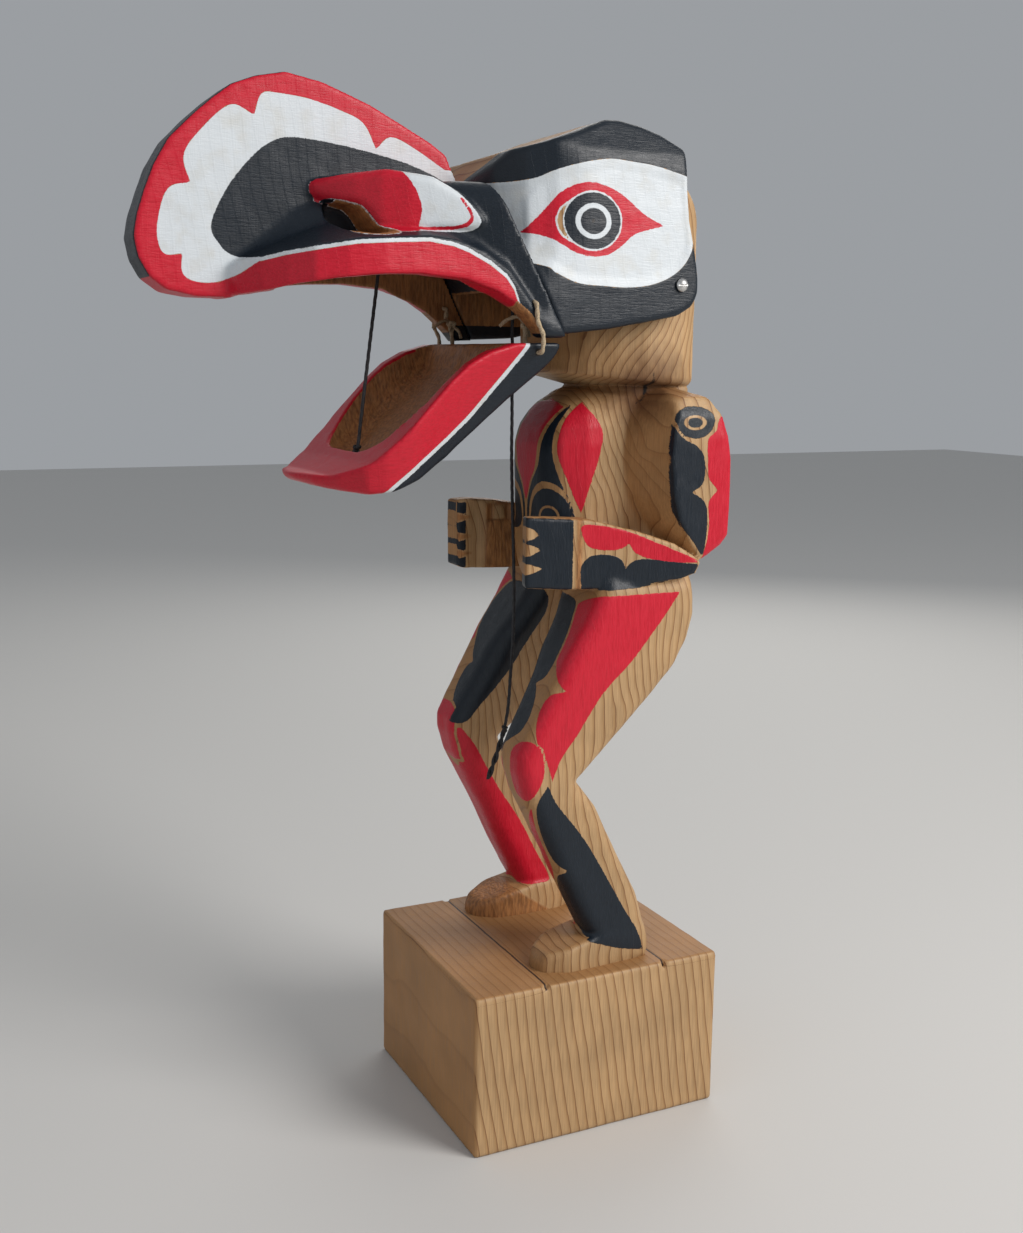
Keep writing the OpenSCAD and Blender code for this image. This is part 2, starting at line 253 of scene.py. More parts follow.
def surface_net(field):
    """Vertices, in steps, and quads of the surface where a field is zero."""
    inside = field < 0
    sizes = np.array(field.shape)
    tally = sum(inside[tuple(slice(c, n - 1 + c) for c, n in zip(corner, sizes))].astype(np.int8)
                for corner in CORNERS)
    active = (tally > 0) & (tally < 8)
    cells = np.argwhere(active)
    number = np.full(active.shape, -1, np.int64)
    number[active] = np.arange(len(cells))
    total = np.zeros((len(cells), 3))
    count = np.zeros(len(cells))
    for a, b in CELL_EDGES:
        low = field[tuple((cells + a).T)].astype(float)
        high = field[tuple((cells + b).T)].astype(float)
        crosses = (low < 0) != (high < 0)
        t = np.where(crosses, low / np.where(crosses, low - high, 1), 0)
        total += np.where(crosses[:, None], a + t[:, None] * (b - a), 0)
        count += crosses
    vertices = cells + total / count[:, None]
    quads = []
    for axis in range(3):
        u, v = [(axis + 1) % 3, (axis + 2) % 3]
        step = np.eye(3, dtype=int)
        starts = np.argwhere(np.diff(inside, axis=axis))
        starts = starts[(starts[:, u] > 0) & (starts[:, v] > 0)]
        starts = starts[(starts[:, u] < sizes[u] - 1) & (starts[:, v] < sizes[v] - 1)]
        ring = [starts, starts - step[u], starts - step[u] - step[v], starts - step[v]]
        quad = np.stack([number[tuple(r.T)] for r in ring], axis=1)
        leaving = inside[tuple(starts.T)]
        quads.append(np.where(leaving[:, None], quad, quad[:, ::-1]))
    return vertices, np.concatenate(quads)


def settled(vertices, quads, field):
    """The net's vertices evened out and put back on the surface."""
    links = np.concatenate([quads[:, [i, (i + 1) % 4]] for i in range(4)])
    for _ in range(2):
        total = np.zeros_like(vertices)
        count = np.zeros(len(vertices))
        np.add.at(total, links[:, 0], vertices[links[:, 1]])
        np.add.at(total, links[:, 1], vertices[links[:, 0]])
        np.add.at(count, links.ravel(), 1)
        vertices = 0.5 * vertices + 0.5 * total / count[:, None]
        for _ in range(2):
            vertices = vertices - stepped_back(field, vertices)
    return vertices


def gradient(field, at):
    return np.stack([sampled(field, at + e) - sampled(field, at - e)
                     for e in np.eye(3) * 0.5], axis=1)


def stepped_back(field, at):
    """How far to move to reach the surface, in steps."""
    lean = gradient(field, at)
    size = np.maximum((lean ** 2).sum(axis=1), 0.1)
    return np.clip(sampled(field, at) / size, -1, 1)[:, None] * lean


def meshed(name, places, faces, material):
    """A smooth object from places in millimetres, with heights from the top of the block."""
    mesh = bpy.data.meshes.new(name)
    mesh.from_pydata(((places + (0, 0, BLOCK_TOP)) * MM).tolist(), [], faces)
    mesh.polygons.foreach_set("use_smooth", [True] * len(mesh.polygons))
    mesh.materials.append(material)
    thing = bpy.data.objects.new(name, mesh)
    bpy.context.scene.collection.objects.link(thing)
    return thing


def stand_in(piece, body, nodes):
    """Puts a piece on a body, in the place of these nodes of the frame."""
    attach(piece, body)
    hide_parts(*nodes)


class Carving:
    """A meshed carving: its vertices in millimetres, their normals, and its paint."""

    def __init__(self, name, blank, field, roughness=0.12):
        vertices, quads = surface_net(field / blank.step)
        vertices = settled(vertices, quads, field / blank.step)
        self.places = vertices
        normals = gradient(field / blank.step, vertices)
        self.normal = normals / np.maximum(np.linalg.norm(normals, axis=1), 1e-6)[:, None]
        self.at = blank.low + vertices * blank.step
        self.name, self.quads = name, quads
        self.push(roughness * (waves(self.at, 9, 1) + 0.5 * waves(self.at, 4, 2)))

    def push(self, distance):
        """Moves the surface out along its normals, in millimetres."""
        self.at = self.at + self.normal * np.asarray(distance)[:, None]

    def read(self, field):
        """Another field of the same blank, in millimetres, at each vertex."""
        return sampled(field, self.places)

    def finish(self, body, nodes, material, paint):
        piece = meshed(self.name, self.at, self.quads.tolist(), material)
        for colour, distance in paint.items():
            layer = piece.data.attributes.new(colour, "FLOAT", "POINT")
            layer.data.foreach_set("value", np.asarray(distance, np.float32))
        stand_in(piece, body, nodes)


def waves(at, size, seed):
    """Smooth noise from -1 to 1 with features of the given size in millimetres."""
    scaled = at / size
    base = np.floor(scaled).astype(np.int64)
    part = scaled - base
    part = part * part * (3 - 2 * part)
    total = 0
    for corner in CORNERS:
        spot = base + corner
        mixed = spot[:, 0] * 73856093 ^ spot[:, 1] * 19349663 ^ spot[:, 2] * 83492791 ^ seed * 7919
        mixed = (mixed ^ (mixed >> 13)) * 1274126177 & 0xFFFFFFFF
        value = ((mixed ^ (mixed >> 16)) & 0xFFFF) / 32767.5 - 1
        total = total + value * np.prod(np.where(corner, part, 1 - part), axis=1)
    return total


# ---------------------------------------------------------------- paint on a carving

FAR = 9.0
# rough is chisel-cut wood drawn darker, which on the far foot, the inner forearms and the nostril's
# hollow is painted shade; dark is a crack, and discs of painted shade in holes
COLOURS = ("white", "red", "black", "bare", "ring", "rough", "dark")


def drawn(points, u, v, steps=5):
    """Distance to a smooth outline on a surface with the coordinates u and v, up to FAR."""
    outline = np.array(curved(points, steps))
    low, high = outline.min(axis=0) - FAR, outline.max(axis=0) + FAR
    close = (u > low[0]) & (u < high[0]) & (v > low[1]) & (v < high[1])
    distance = np.full(u.shape, FAR)
    distance[close] = np.minimum(outline_distance(outline, u[close], v[close]), FAR)
    return distance


def oval(u, v, centre, radii):
    """Distance to an ellipse, near enough."""
    scaled = np.hypot((u - centre[0]) / radii[0], (v - centre[1]) / radii[1])
    return (scaled - 1) * min(radii)


def both(*distances):
    """Where all the distances are negative."""
    return np.max(np.broadcast_arrays(*distances), axis=0)


def facing(direction, at_least=0.35):
    """A distance that is negative where the surface faces far enough one way."""
    return 6 * (at_least - direction)


class Paint:
    """The colours on a carving: for each, the distance in millimetres to its edge."""

    def __init__(self, carving):
        self.x, self.y, self.z = carving.at.T
        self.outward = np.sign(self.x) * carving.normal[:, 0]
        self.forward = -carving.normal[:, 1]
        self.upward = carving.normal[:, 2]
        self.layers = {colour: np.full(len(self.x), FAR) for colour in COLOURS}

    def add(self, colour, *distances):
        layer = self.layers[colour]
        self.layers[colour] = np.minimum(layer, both(*distances))


# ---------------------------------------------------------------- the figure and its block

LEG_SIDE = [[2, 12], [-4, 22], [-15, 44], [-20, 55], [-28.5, 72], [-35, 85], [-38, 96], [-38, 103],
            [-33, 113], [-24.5, 128], [-15.5, 145], [-6, 160], [1, 174], [2, 188], [46, 188],
            [49, 177], [49.5, 161], [46.5, 149.5], [40, 138], [23, 120], [5, 102], [-8.5, 89],
            [2, 76], [9, 62], [25, 31], [32, 9], [32, -3], [2, -3]]
FAR_CROOK = [[40, 138], [23, 120], [2, 104], [-13.5, 92.5], [-9.5, 83], [0, 71], [9, 58],
             [25, 31], [50, 40]]
LEG_FRONT = [[24, -3], [47, -3], [47, 60], [49, 95], [50, 140], [49.5, 173], [44, 184],
             [38, 190], [7, 188], [7, 172], [12, 155],
             [17.5, 135], [22, 95], [24, 40]]
LEG_FRONT_EDGE = [[0, 2], [22, -4], [44, -15], [55, -20], [72, -28.5], [85, -35], [96, -38],
                  [103, -38], [113, -33], [128, -24.5], [145, -15.5], [160, -6], [174, 1]]
LEG_INNER_EDGE = [[0, 24], [40, 24], [95, 22], [135, 17.5], [155, 12], [172, 7]]
INNER_CHAMFER = 3.2
FOOT_SIDE = [[-26, -3], [-25.5, 3], [-21, 8], [-8, 12], [6, 15], [32, 15], [32, -3]]
FOOT_PLAN = [[29, -23], [36, -25.5], [43, -23], [48, -12], [47.5, 5], [46, 22], [43, 30], [36, 31],
             [28, 30], [23, 20], [22, 0], [23, -14]]
TORSO_SIDE = [[8, 262], [-3, 255], [-11, 245], [-15, 237], [-15, 226], [-14, 206], [-13, 190],
              [-9, 180], [-3, 170], [50, 170], [54, 185], [54, 225], [50, 248], [42, 262]]
TORSO_PLAN = [[0, -16], [12, -14], [22, -7], [27, 4], [29, 22], [37, 32], [37, 50], [30, 54],
              [0, 54]]
TORSO_FRONT = [[0, 168], [42, 168], [39, 190], [37, 200], [37, 244], [34, 256], [28, 262],
               [0, 262]]
ARM_SIDE = [[31, 231], [32, 244], [35, 256], [44, 263], [49, 262.5], [54, 257], [57.5, 249.5],
            [60.5, 241], [62.3, 231], [62.8, 216], [62, 197], [58.5, 192.5], [47.5, 185.5],
            [43, 192], [36, 204], [33, 214]]
ARM_FRONT = [[26, 180], [52, 182], [54, 194], [54, 240], [53, 250], [49, 258], [40, 264], [30, 264]]
ARM_LEAN = 0.45
ARM_OUTSIDE = 52
WRIST_SQUARE_AT = (-11.7, 201.7)
WRIST_SQUARE_HALF = (2.9, 3.3)
KERFS = (-27.5, 33.5)
FOREARM_SIDE = [[-34, 207], [-14, 206], [-2, 205], [17, 200], [35, 194], [44, 188.5],
                [47.5, 185.5], [45, 180.5], [38, 178], [19, 175.5], [-8, 174.5], [-34, 176]]
FOREARM_PLAN = [[54, 56], [54, 46], [38.4, -32], [29.5, -29.5], [30, -8], [28, 6], [30, 20],
                [34, 32], [34, 56]]
FAR_FOREARM_SIDE = [[-37, 208], [-27, 208.5], [-15, 207.5], [-4, 206], [17, 201], [35, 194.5],
                    [44, 188.5], [47.5, 185.5], [45, 180.5], [38, 178], [19, 175.5],
                    [-8, 174.5], [-30, 175.5], [-37, 178]]
FAR_FOREARM_PLAN = [[54, 56], [54, 46], [39.5, -35], [30, -33.5], [30, -8], [28, 6], [30, 20],
                    [34, 32], [34, 56]]
HEAD_SIDE = [[-2, 262], [-9, 266], [-13, 276], [-13, 340], [-8, 349], [42, 349], [50, 342],
             [58, 330], [61, 310], [61, 274], [56, 262]]
HEAD_PLAN = [[0, -13], [10, -11.5], [20, -7], [29, 1], [36, 12], [40, 26], [40, 44], [36, 51],
             [28, 56], [15, 60], [0, 61]]
NECK = 262
NECK_PLAN = [[0, 9], [8, 9.5], [16, 12], [24, 17], [31, 25], [36, 34], [37, 50], [30, 54], [0, 54]]
SHOULDER = [[236, 0], [244, 0.08], [250, 0.24], [254, 0.4], [259, 0.72], [262, 1], [266, 1]]
HEAD_BOTTOM = [[258, 0.8], [262, 0.45], [264, 0.22], [268, 0.08], [275, 0]]
NECK_HALF_HEIGHT = 6


def leaning_side(blank, outline, lean, outside):
    """A side outline that reaches further forward the nearer it is to the middle."""
    reach = (abs(outside - abs(blank.x)) * lean)[:, None, None]
    y, z = blank.y[None, :, None], blank.z[None, None, :]
    columns = [outline_distance(outline, (y + r)[0], z[0]) for r in reach]
    return np.stack(columns).astype(np.float32)


def square_sides(y, z):
    """Distances to the sides of the square on the wrist, along y and along z."""
    return [abs(place - middle) - half
            for place, middle, half in zip((y, z), WRIST_SQUARE_AT, WRIST_SQUARE_HALF)]


def palm_field(blank):
    """The hollow of the palm on a forearm's inner face, left of the square on its wrist."""
    x, y, z = blank.grid()
    palm = np.sqrt((abs(x) - 19) ** 2 + ((y + 24) * 1.1) ** 2 + ((z - 191) * 0.3) ** 2) - 12.6
    wrist = meet(abs(y + 12) - 5.4, abs(z - 202) - 4.4, 0.4)
    square = meet(*square_sides(y, z), 0.5)
    around = np.maximum(np.maximum(wrist, -square), abs(x) - 31)
    return np.minimum(palm, around)


def between_plans(blank, plan, other, share):
    """A plan that turns into another with the height, by [height, share] points."""
    share = slope(share, blank.z)[None, None, :]
    return (plan * (1 - share) + other * share).astype(np.float32)


def figure_field(blank):
    x, y, z = blank.grid()
    leg = meet(cut(blank.side(LEG_SIDE, 1), np.where(x > 0, 9, blank.side(FAR_CROOK, 1)), 0.3),
               blank.front(LEG_FRONT, 4), 6.5)
    shin_y = slope(LEG_FRONT_EDGE, blank.z)[None, None, :]
    inner_x = slope(LEG_INNER_EDGE, blank.z)[None, None, :]
    leg = meet(leg, (shin_y - y + inner_x - abs(x)) / math.sqrt(2) + INNER_CHAMFER, 4)
    foot = meet(blank.side(FOOT_SIDE, 1), blank.plan(FOOT_PLAN, 2), 2.5)
    body = join(leg, foot, 2)
    neck = blank.plan(NECK_PLAN, 2)
    chest = between_plans(blank, blank.plan(TORSO_PLAN, 1), neck, SHOULDER)
    torso = meet(meet(blank.side(TORSO_SIDE, 3), chest, 5), blank.front(TORSO_FRONT, 2), 4)
    body = join(body, torso, 2)
    arm = meet(leaning_side(blank, ARM_SIDE, ARM_LEAN, ARM_OUTSIDE), blank.front(ARM_FRONT, 2), 2)
    body = join(body, arm, 1)
    near = meet(blank.side(FOREARM_SIDE), blank.plan(FOREARM_PLAN), 1)
    far = meet(blank.side(FAR_FOREARM_SIDE), blank.plan(FAR_FOREARM_PLAN), 1)
    forearm = cut(np.where(x > 0, near, far), palm_field(blank), 0.5)
    body = join(body, forearm, 0.8)
    skull = between_plans(blank, blank.plan(HEAD_PLAN, 2), neck, HEAD_BOTTOM)
    body = join(body, meet(blank.side(HEAD_SIDE, 3), skull, 4), 0.4)
    body = join(body, np.maximum(neck + 1.2, abs(z - NECK) - NECK_HALF_HEIGHT), 0.4)
    groove = abs(z - NECK) - 0.28 * (neck + 2.6)
    return cut(body, groove, 0.1)


# traced places, still to be drawn afresh as a design
THIGH_BLACK = {
    1: [[28, 168], [33, 160.5], [36.5, 151], [37.5, 141.6], [36, 135.5], [31, 132, 1],
        [36, 127.3], [39, 120], [38, 113], [33, 108.9], [22, 102], [12, 108], [8, 127], [5, 144],
        [3, 156], [3, 168]],
    -1: [[36, 166.5], [44, 156], [43, 144], [38, 134], [33, 129, 1], [37, 126], [37, 117],
         [32, 109], [24, 102], [21, 111], [20, 127], [18, 144], [15, 155], [12, 164], [22, 168]]}
KNEE_RED = {
    1: [[-49.4, 99.6], [-47.4, 106.2], [-37.3, 110.1], [-29.6, 107.5], [-27.1, 100.1],
        [-27.4, 92.9], [-32, 85.5], [-37.7, 82.7], [-44.7, 84.3], [-48.7, 90.8]],
    -1: [[-63, 96], [-61, 104], [-52, 109], [-40, 109.5], [-33, 105], [-31, 97], [-34, 88],
         [-42, 83], [-52, 82], [-60, 87]]}
THIGH_RED = [[-17, 167.6], [-1.4, 171.7], [19, 172.4], [40, 172.2, 1], [34.6, 164.8],
             [27.2, 155.9], [16, 143], [1.2, 128.8], [-11.2, 111], [-18.3, 101.8], [-22.9, 91.4, 1],
             [-24.1, 95.6], [-26.2, 101.8], [-30.7, 110], [-32.5, 117], [-31, 124.5],
             [-25, 129.9], [-16.5, 131.3, 1], [-22.8, 136.3], [-26.5, 143], [-27, 152.3],
             [-24.5, 161.4]]
SHIN_BLACK = [[-24.9, 89.8, 1], [-31.4, 79.5], [-30.5, 64.4], [-25, 53], [-15.5, 47.8, 1],
              [-24, 43], [-25, 32], [-20, 17.5], [-1.1, 12], [12.4, 7], [25.5, 3.8, 1],
              [21.9, 13.8], [14.5, 25.9], [0.9, 49.1], [-10.1, 66.4], [-20.5, 80.3]]
SHIN_RED = [[-34.7, 80, 1], [-34, 63.8], [-27.5, 48.3], [-28.6, 38, 1], [-34, 50], [-40, 64],
            [-39, 73]]
FAR_SHIN_RED = [[24, 99, 1], [30, 80], [38, 79], [47, 86], [48, 60], [47, 18], [36, 15.5],
                [26, 16], [24, 30], [24.5, 49], [23, 69], [22.5, 88]]
CHEST_RED = [[-9, 256], [14, 255], [23.9, 252.5, 1], [19.4, 249], [13.6, 241], [11.5, 233],
             [9.6, 225], [5.4, 219], [1.5, 210], [-5, 202]]
LENS_RED = [[33.2, 255, 1], [40.6, 249.4], [45.1, 243.3], [45.5, 235.8], [42, 221], [37.6, 206, 1],
            [34, 213], [30.1, 222.1], [25.4, 232.6], [25.8, 241], [28.2, 249]]
SPINDLE_BLACK = [[28.9, 255, 1], [22, 249], [16.4, 241], [14.2, 233], [12.4, 226], [7, 219],
                 [3, 210], [2.5, 200, 1], [35.5, 200, 1], [32.7, 210.6], [26.6, 221.6],
                 [22.6, 231], [22.6, 241], [25.8, 249]]
ARCH_BARE = [[4.6, 199, 1], [4.8, 207], [7, 213.5], [12.5, 218.4], [18.8, 219.7], [26.2, 218],
             [30.8, 213.7], [33, 207.5], [33.6, 199, 1]]
OVOID_BLACK = [[6.3, 200], [6.6, 206], [9, 212], [14.9, 215.8], [20.2, 216.7], [27.2, 214.6],
               [31.6, 210.2], [32.7, 206], [32, 200], [27, 196.5], [12, 196.5]]
CHEST_RING = [[20.6, 204], [6.2, 4.6]]
ARM_BLACK = [[32.6, 251, 1], [31.2, 240.7], [30.8, 231.2], [32.4, 214.2], [35.8, 203.9],
             [42.8, 194.8], [48.6, 187.6, 1], [49.6, 196.6], [49.8, 207.3], [47.8, 212.7],
             [41.3, 216.8, 1], [46.4, 219.7], [47.9, 225.4], [46.8, 232.4], [43.1, 236.8],
             [37, 239.8], [34, 244]]
ARM_OVOID = [[33.4, 250.4], [38.4, 253.6], [46.7, 253.4], [51.4, 251], [52.6, 247], [49.4, 242.2],
             [43.4, 240], [36.8, 241.4], [33.4, 245.5]]
ARM_RED = [[60, 251.5, 1], [55, 248.5], [53.4, 243.5], [49, 239.6], [49, 231.1], [50, 222.7],
           [55, 217.2, 1], [50.4, 212.1], [50.8, 200.1], [48, 184.6, 1], [64, 180],
           [78, 190], [80, 216], [78, 245]]
ARM_RING = [[42.4, 246.9], [4.9, 2.7]]
FOREARM_RED = [[-6.5, 203.1], [10.8, 200.6], [26.2, 194.8], [48.6, 185.4, 1], [36, 185.6],
               [26.3, 187], [17.6, 189.8], [13.8, 194.6, 1], [10.4, 192.4], [4.4, 191.8],
               [-2.8, 192.8], [-6.3, 196.6]]
FOREARM_BLACK = [[-7.2, 174, 1], [-7.6, 184.4], [-4.1, 188.9], [1.3, 190], [8, 189],
                 [11.4, 186.4], [12.7, 182.6, 1], [14.6, 186], [20.3, 187.6], [34, 186],
                 [49, 184.4, 1], [50, 176], [30, 172]]
CLAWS = [[[-40, 202.6, 1], [-31, 202.4], [-25.9, 199.1, 1], [-31, 196.8], [-40, 196.6, 1]],
         [[-40, 195.2, 1], [-31, 195.1], [-25.2, 192.7, 1], [-31, 189.9], [-40, 189.8, 1]],
         [[-40, 186.8, 1], [-31, 186.5], [-24.4, 184.4, 1], [-31, 182], [-40, 181.8, 1]]]
PALM_CLAWS = (199.7, 190.5, 182.4)
CUFF = (-9.7, -6.9)
THIGH_BLACK_INSIDE = [[-46, 104, 1], [-33.8, 101.8], [-25.3, 110.8], [-11.1, 127.4], [-1.4, 144.3],
                      [4.6, 155.5], [4, 164], [-3, 168], [-26, 166, 1], [-50, 126, 1]]
SHIN_RED_INSIDE = [[-48, 99, 1], [-34.2, 99.5, 1], [-27.4, 90.5], [-15.1, 68.8], [-1.9, 48.9],
                   [7, 32], [15, 16.5], [8, 14.6], [-20, 14, 1], [-60, 90, 1]]
NECK_CRACK = [[29, 269, 1], [30.3, 264], [29.7, 259.5], [27, 256], [24, 253.8, 1], [27.8, 257.5],
              [28.7, 261], [28.8, 265]]


def paint_legs(paint):
    """Around a leg, u runs back along its outer side and inward across its front."""
    x, y, z = paint.x, paint.y, paint.z
    u = y - np.maximum(49 - abs(x), 0)
    below = z - 172
    front, side = facing(paint.forward, 0.2), facing(paint.outward + paint.forward, 0.3)
    inner = both(facing(-paint.outward, 0.2), 8 - abs(x))
    for hand in (1, -1):
        here = both(below, -hand * x)
        stripe = both(drawn(THIGH_BLACK[hand], abs(x), z), front)
        knee = both(drawn(KNEE_RED[hand], u, z), side)
        thigh = both(drawn(THIGH_RED, u, z), facing(2 * paint.outward + paint.forward, 0.6),
                     1.3 - stripe, 1.0 - knee)
        paint.add("black", stripe, 1.2 - knee, here)
        paint.add("black", drawn(THIGH_BLACK_INSIDE, y, z), inner, here)
        shin = side if hand == 1 else facing(paint.outward, 0.75)
        paint.add("black", drawn(SHIN_BLACK, u, z), shin, 1.0 - knee, here)
        paint.add("red", thigh, here)
        paint.add("red", knee, here)
    paint.add("red", drawn(SHIN_RED, u, z), side, -x)
    far_shin = both(drawn(FAR_SHIN_RED, abs(x), z), front)
    inside_shin = both(drawn(SHIN_RED_INSIDE, y, z), inner)
    shin = both(drawn(SHIN_BLACK, u, z), facing(paint.outward, 0.75))
    gaps = both(1.2 - both(drawn(KNEE_RED[-1], u, z), side), 0.6 - shin, x, below)
    paint.add("red", np.minimum(far_shin, inside_shin), gaps)
    paint.add("red", inside_shin, -x)
    # The far foot is painted as darker cut wood: chisel marks, and painted shade on the foot away from
    # the light.
    paint.add("rough", z - 13 + 0.7 * np.clip(y + 4, 0, 30), x)


def paint_torso(paint):
    """Round the chest, u runs from the middle back along the side."""
    x, y, z = paint.x, paint.y, paint.z
    u = abs(x) + 0.7 * (y + 15)
    chest = both(abs(x) - 31, y - 20, 195 - z, z - 258, facing(paint.forward + paint.outward, 0.3))
    arch = drawn(ARCH_BARE, u, z)
    ring = oval(u, z, *CHEST_RING)
    paint.add("red", drawn(CHEST_RED, u, z), chest)
    paint.add("red", drawn(LENS_RED, u, z), chest)
    paint.add("black", drawn(SPINDLE_BLACK, u, z), -arch, chest)
    paint.add("black", drawn(OVOID_BLACK, u, z), chest)
    paint.add("ring", ring, both(chest, ring - 3))


def paint_arms(paint):
    x, y, z = paint.x, paint.y, paint.z
    side = both(facing(paint.outward + paint.forward, 0.5), 40 - abs(x))
    ovoid = drawn(ARM_OVOID, y, z)
    upper = both(side, 185 - z)
    paint.add("black", drawn(ARM_BLACK, y, z), 1.2 - ovoid, upper)
    paint.add("black", ovoid, upper)
    ring = oval(y, z, *ARM_RING)
    paint.add("ring", both(ring, upper))
    back = both(drawn(ARM_RED, y, z), facing(paint.outward - paint.forward, 0.3), 40 - abs(x),
                z - 252, 185.2 - z)
    paint.add("red", back, 1.2 - ovoid)


def paint_forearms(paint):
    x, y, z = paint.x, paint.y, paint.z
    outer = both(facing(paint.outward + 0.6 * paint.forward, 0.5), 31 - abs(x), z - 206.6,
                 y - 50, 173 - z)
    claws = np.min([drawn(claw, y, z) for claw in CLAWS], axis=0)
    paint.add("red", drawn(FOREARM_RED, y, z), outer)
    below = slope([[-8, 173.9], [19, 174.9], [38, 177.4], [45, 180]], y) - z
    paint.add("black", drawn(FOREARM_BLACK, y, z), outer, below)
    paint.add("black", y + 11.2, outer, -claws)
    paint.add("rough", abs(y - sum(CUFF) / 2) - (CUFF[1] - CUFF[0]) / 2, outer)
    hand = both(y + 26, 174 - z, z - 206.8, abs(x) - 40)
    palm = both(facing(-paint.outward, 0.4), abs(x) - 39)
    tips = np.min([abs(z - claw) + 0.26 * (y + 25.6) for claw in PALM_CLAWS], axis=0)
    paint.add("black", hand, y + 29.2, palm, 0.3 - tips)
    paint.add("rough", hand, tips, palm)
    paint.add("black", hand, facing(paint.forward, 0.6), 0.3 - claws)
    square = both(*square_sides(y, z))
    # Behind the palm the inner face is painted as darker cut wood: painted shade.
    paint.add("rough", -19 - y, palm, y - 30, 174 - z, z - 206, -square)


def make_figure(material):
    blank = Blank((-58, -42, -3), (58, 68, 353))
    carving = Carving("figure_carving", blank, figure_field(blank), 0.18)
    paint = Paint(carving)
    paint_legs(paint)
    paint_torso(paint)
    paint_arms(paint)
    paint_forearms(paint)
    paint.add("dark", drawn(NECK_CRACK, paint.y, paint.z), 20 - paint.x, facing(paint.outward, 0))
    nodes = ["left_leg", "right_leg", "torso", "left_upper_arm", "right_upper_arm",
             "left_forearm", "right_forearm", "head_block"]
    carving.finish("figure", nodes, material, paint.layers)


def make_block(material):
    half_w, half_l, _ = BLOCK_HIGH
    blank = Blank((-half_w - 3, -half_l - 3, -BLOCK_TOP - 3), (half_w + 3, half_l + 3, 3),
                  STEP * 1.2)
    x, y, z = blank.grid()
    walls = meet(abs(x) - half_w, abs(y) - half_l, 1.5)
    field = meet(walls, abs(z + BLOCK_TOP / 2) - BLOCK_TOP / 2, 1.2)
    for kerf in KERFS:
        notch = np.maximum(abs(y - kerf) - 0.5 * (z + 3.2), half_w - 2.5 - abs(x))
        field = cut(field, notch, 0.2)
    carving = Carving("base_block_carved", blank, field.astype(np.float32), 0.1)
    paint = Paint(carving)
    # Across the top the saw cuts are not carved, only drawn as dark lines: painted shade in the cuts.
    lines = np.minimum(paint.y - KERFS[0], KERFS[1] - paint.y)
    paint.add("ring", np.where(paint.z > -2.8, lines, FAR))
    carving.finish("figure", ["base_block"], material, paint.layers)


# ---------------------------------------------------------------- the mask

GLUE = [[-22.5, 283.5], [-57.8, 357]]
HOOD_SIDE = [[-32, 283], [-22, 283.5], [0, 286], [17, 289], [33, 292], [40, 296], [44, 302],
             [44, 308], [41, 319], [38, 332], [36, 350], [36, 361], [26, 366.5], [17, 369.5],
             [7, 371.5], [0, 371], [-15, 365], [-29, 360], [-40, 357], [-49, 348], [-60, 336]]
HOOD_HOLLOW = [[-30, 270], [-31, 304], [-34, 336], [-22, 346], [-14, 350.5], [70, 350.5],
               [70, 270]]
HOOD_PLAN = [[0, -58], [10, -58], [16, -54], [32, -46], [43, -36], [49, -25], [52, -12],
             [52, 42], [50, 44], [0, 44]]
FAR_HOOD_SIDE = [[-32, 281.5], [0, 283], [17, 287]] + HOOD_SIDE[3:]
HOOD_LOW_PLAN = [[0, -60], [51, -48], [52, -30], [52, 42], [50, 44], [0, 44]]
HOOD_FRONT = [[0, 280], [52, 280], [52, 350], [50, 358], [42, 374], [0, 374]]
CREST_SIDE = [[-40, 343], [-50, 354], [-57.8, 357], [-64, 361], [-78, 368], [-91, 374], [-111, 381],
              [-126, 383.5], [-138, 381], [-148, 377], [-156, 371], [-164, 364], [-173, 355],
              [-179, 345], [-183, 335], [-186, 326], [-187.5, 318], [-186, 310], [-182, 303],
              [-175, 298], [-164, 296], [-150, 296], [-120, 310], [-60, 322]]
CREST_HALF = 10
LIP_LOW = [[-153, 296], [-142, 298], [-130, 301], [-118, 303], [-100, 305], [-85, 305.5],
           [-66, 304], [-53, 300], [-44, 295.3], [-39, 291.5], [-35, 287.5], [-31.5, 283.5],
           [-17, 283.5]]
FAR_LIP_LOW = LIP_LOW[:-3] + [[-33, 286.8], [-28.5, 282], [-17, 282]]
LIP_HIGH = [[-153, 308], [-139, 312], [-125, 315], [-110, 318], [-96, 319], [-81, 320],
            [-70, 319], [-58, 315], [-47, 308], [-34, 290], [-17, 283.5]]
LIP_PLAN = [[0, -153.5], [9, -152], [16, -149], [27, -142], [36, -134.5], [44, -126], [49, -114],
            [51, -100], [51.5, -60], [52, -17], [52, -8], [0, -8]]
SHELF_RISE = 0.3
CHEEK_SIDE = [[4, 270], [4, 284], [-12, 314.5], [-30, 343], [-62, 344], [-95, 342], [-122, 336],
              [-140, 326], [-152, 312], [-150, 300], [-70, 300], [-46, 270]]
CHEEK_PLAN = [[0, -152], [10, -150], [11, -135], [14, -118], [20, -100], [29, -84], [40, -66],
              [47, -48], [52, -30], [52, -8], [0, -8]]
NOSTRIL_SIDE = [[-118.5, 342.5], [-112, 343.7], [-105, 345], [-92, 346.5], [-75, 344], [-62, 337],
                [-54, 329], [-54, 325], [-60, 323.5], [-77, 323], [-88, 322.2], [-93, 322.7],
                [-97.2, 324.7], [-98.8, 326.6], [-100.2, 329.9], [-103.2, 332.5], [-108, 333.3],
                [-113, 334.6], [-118.5, 337]]
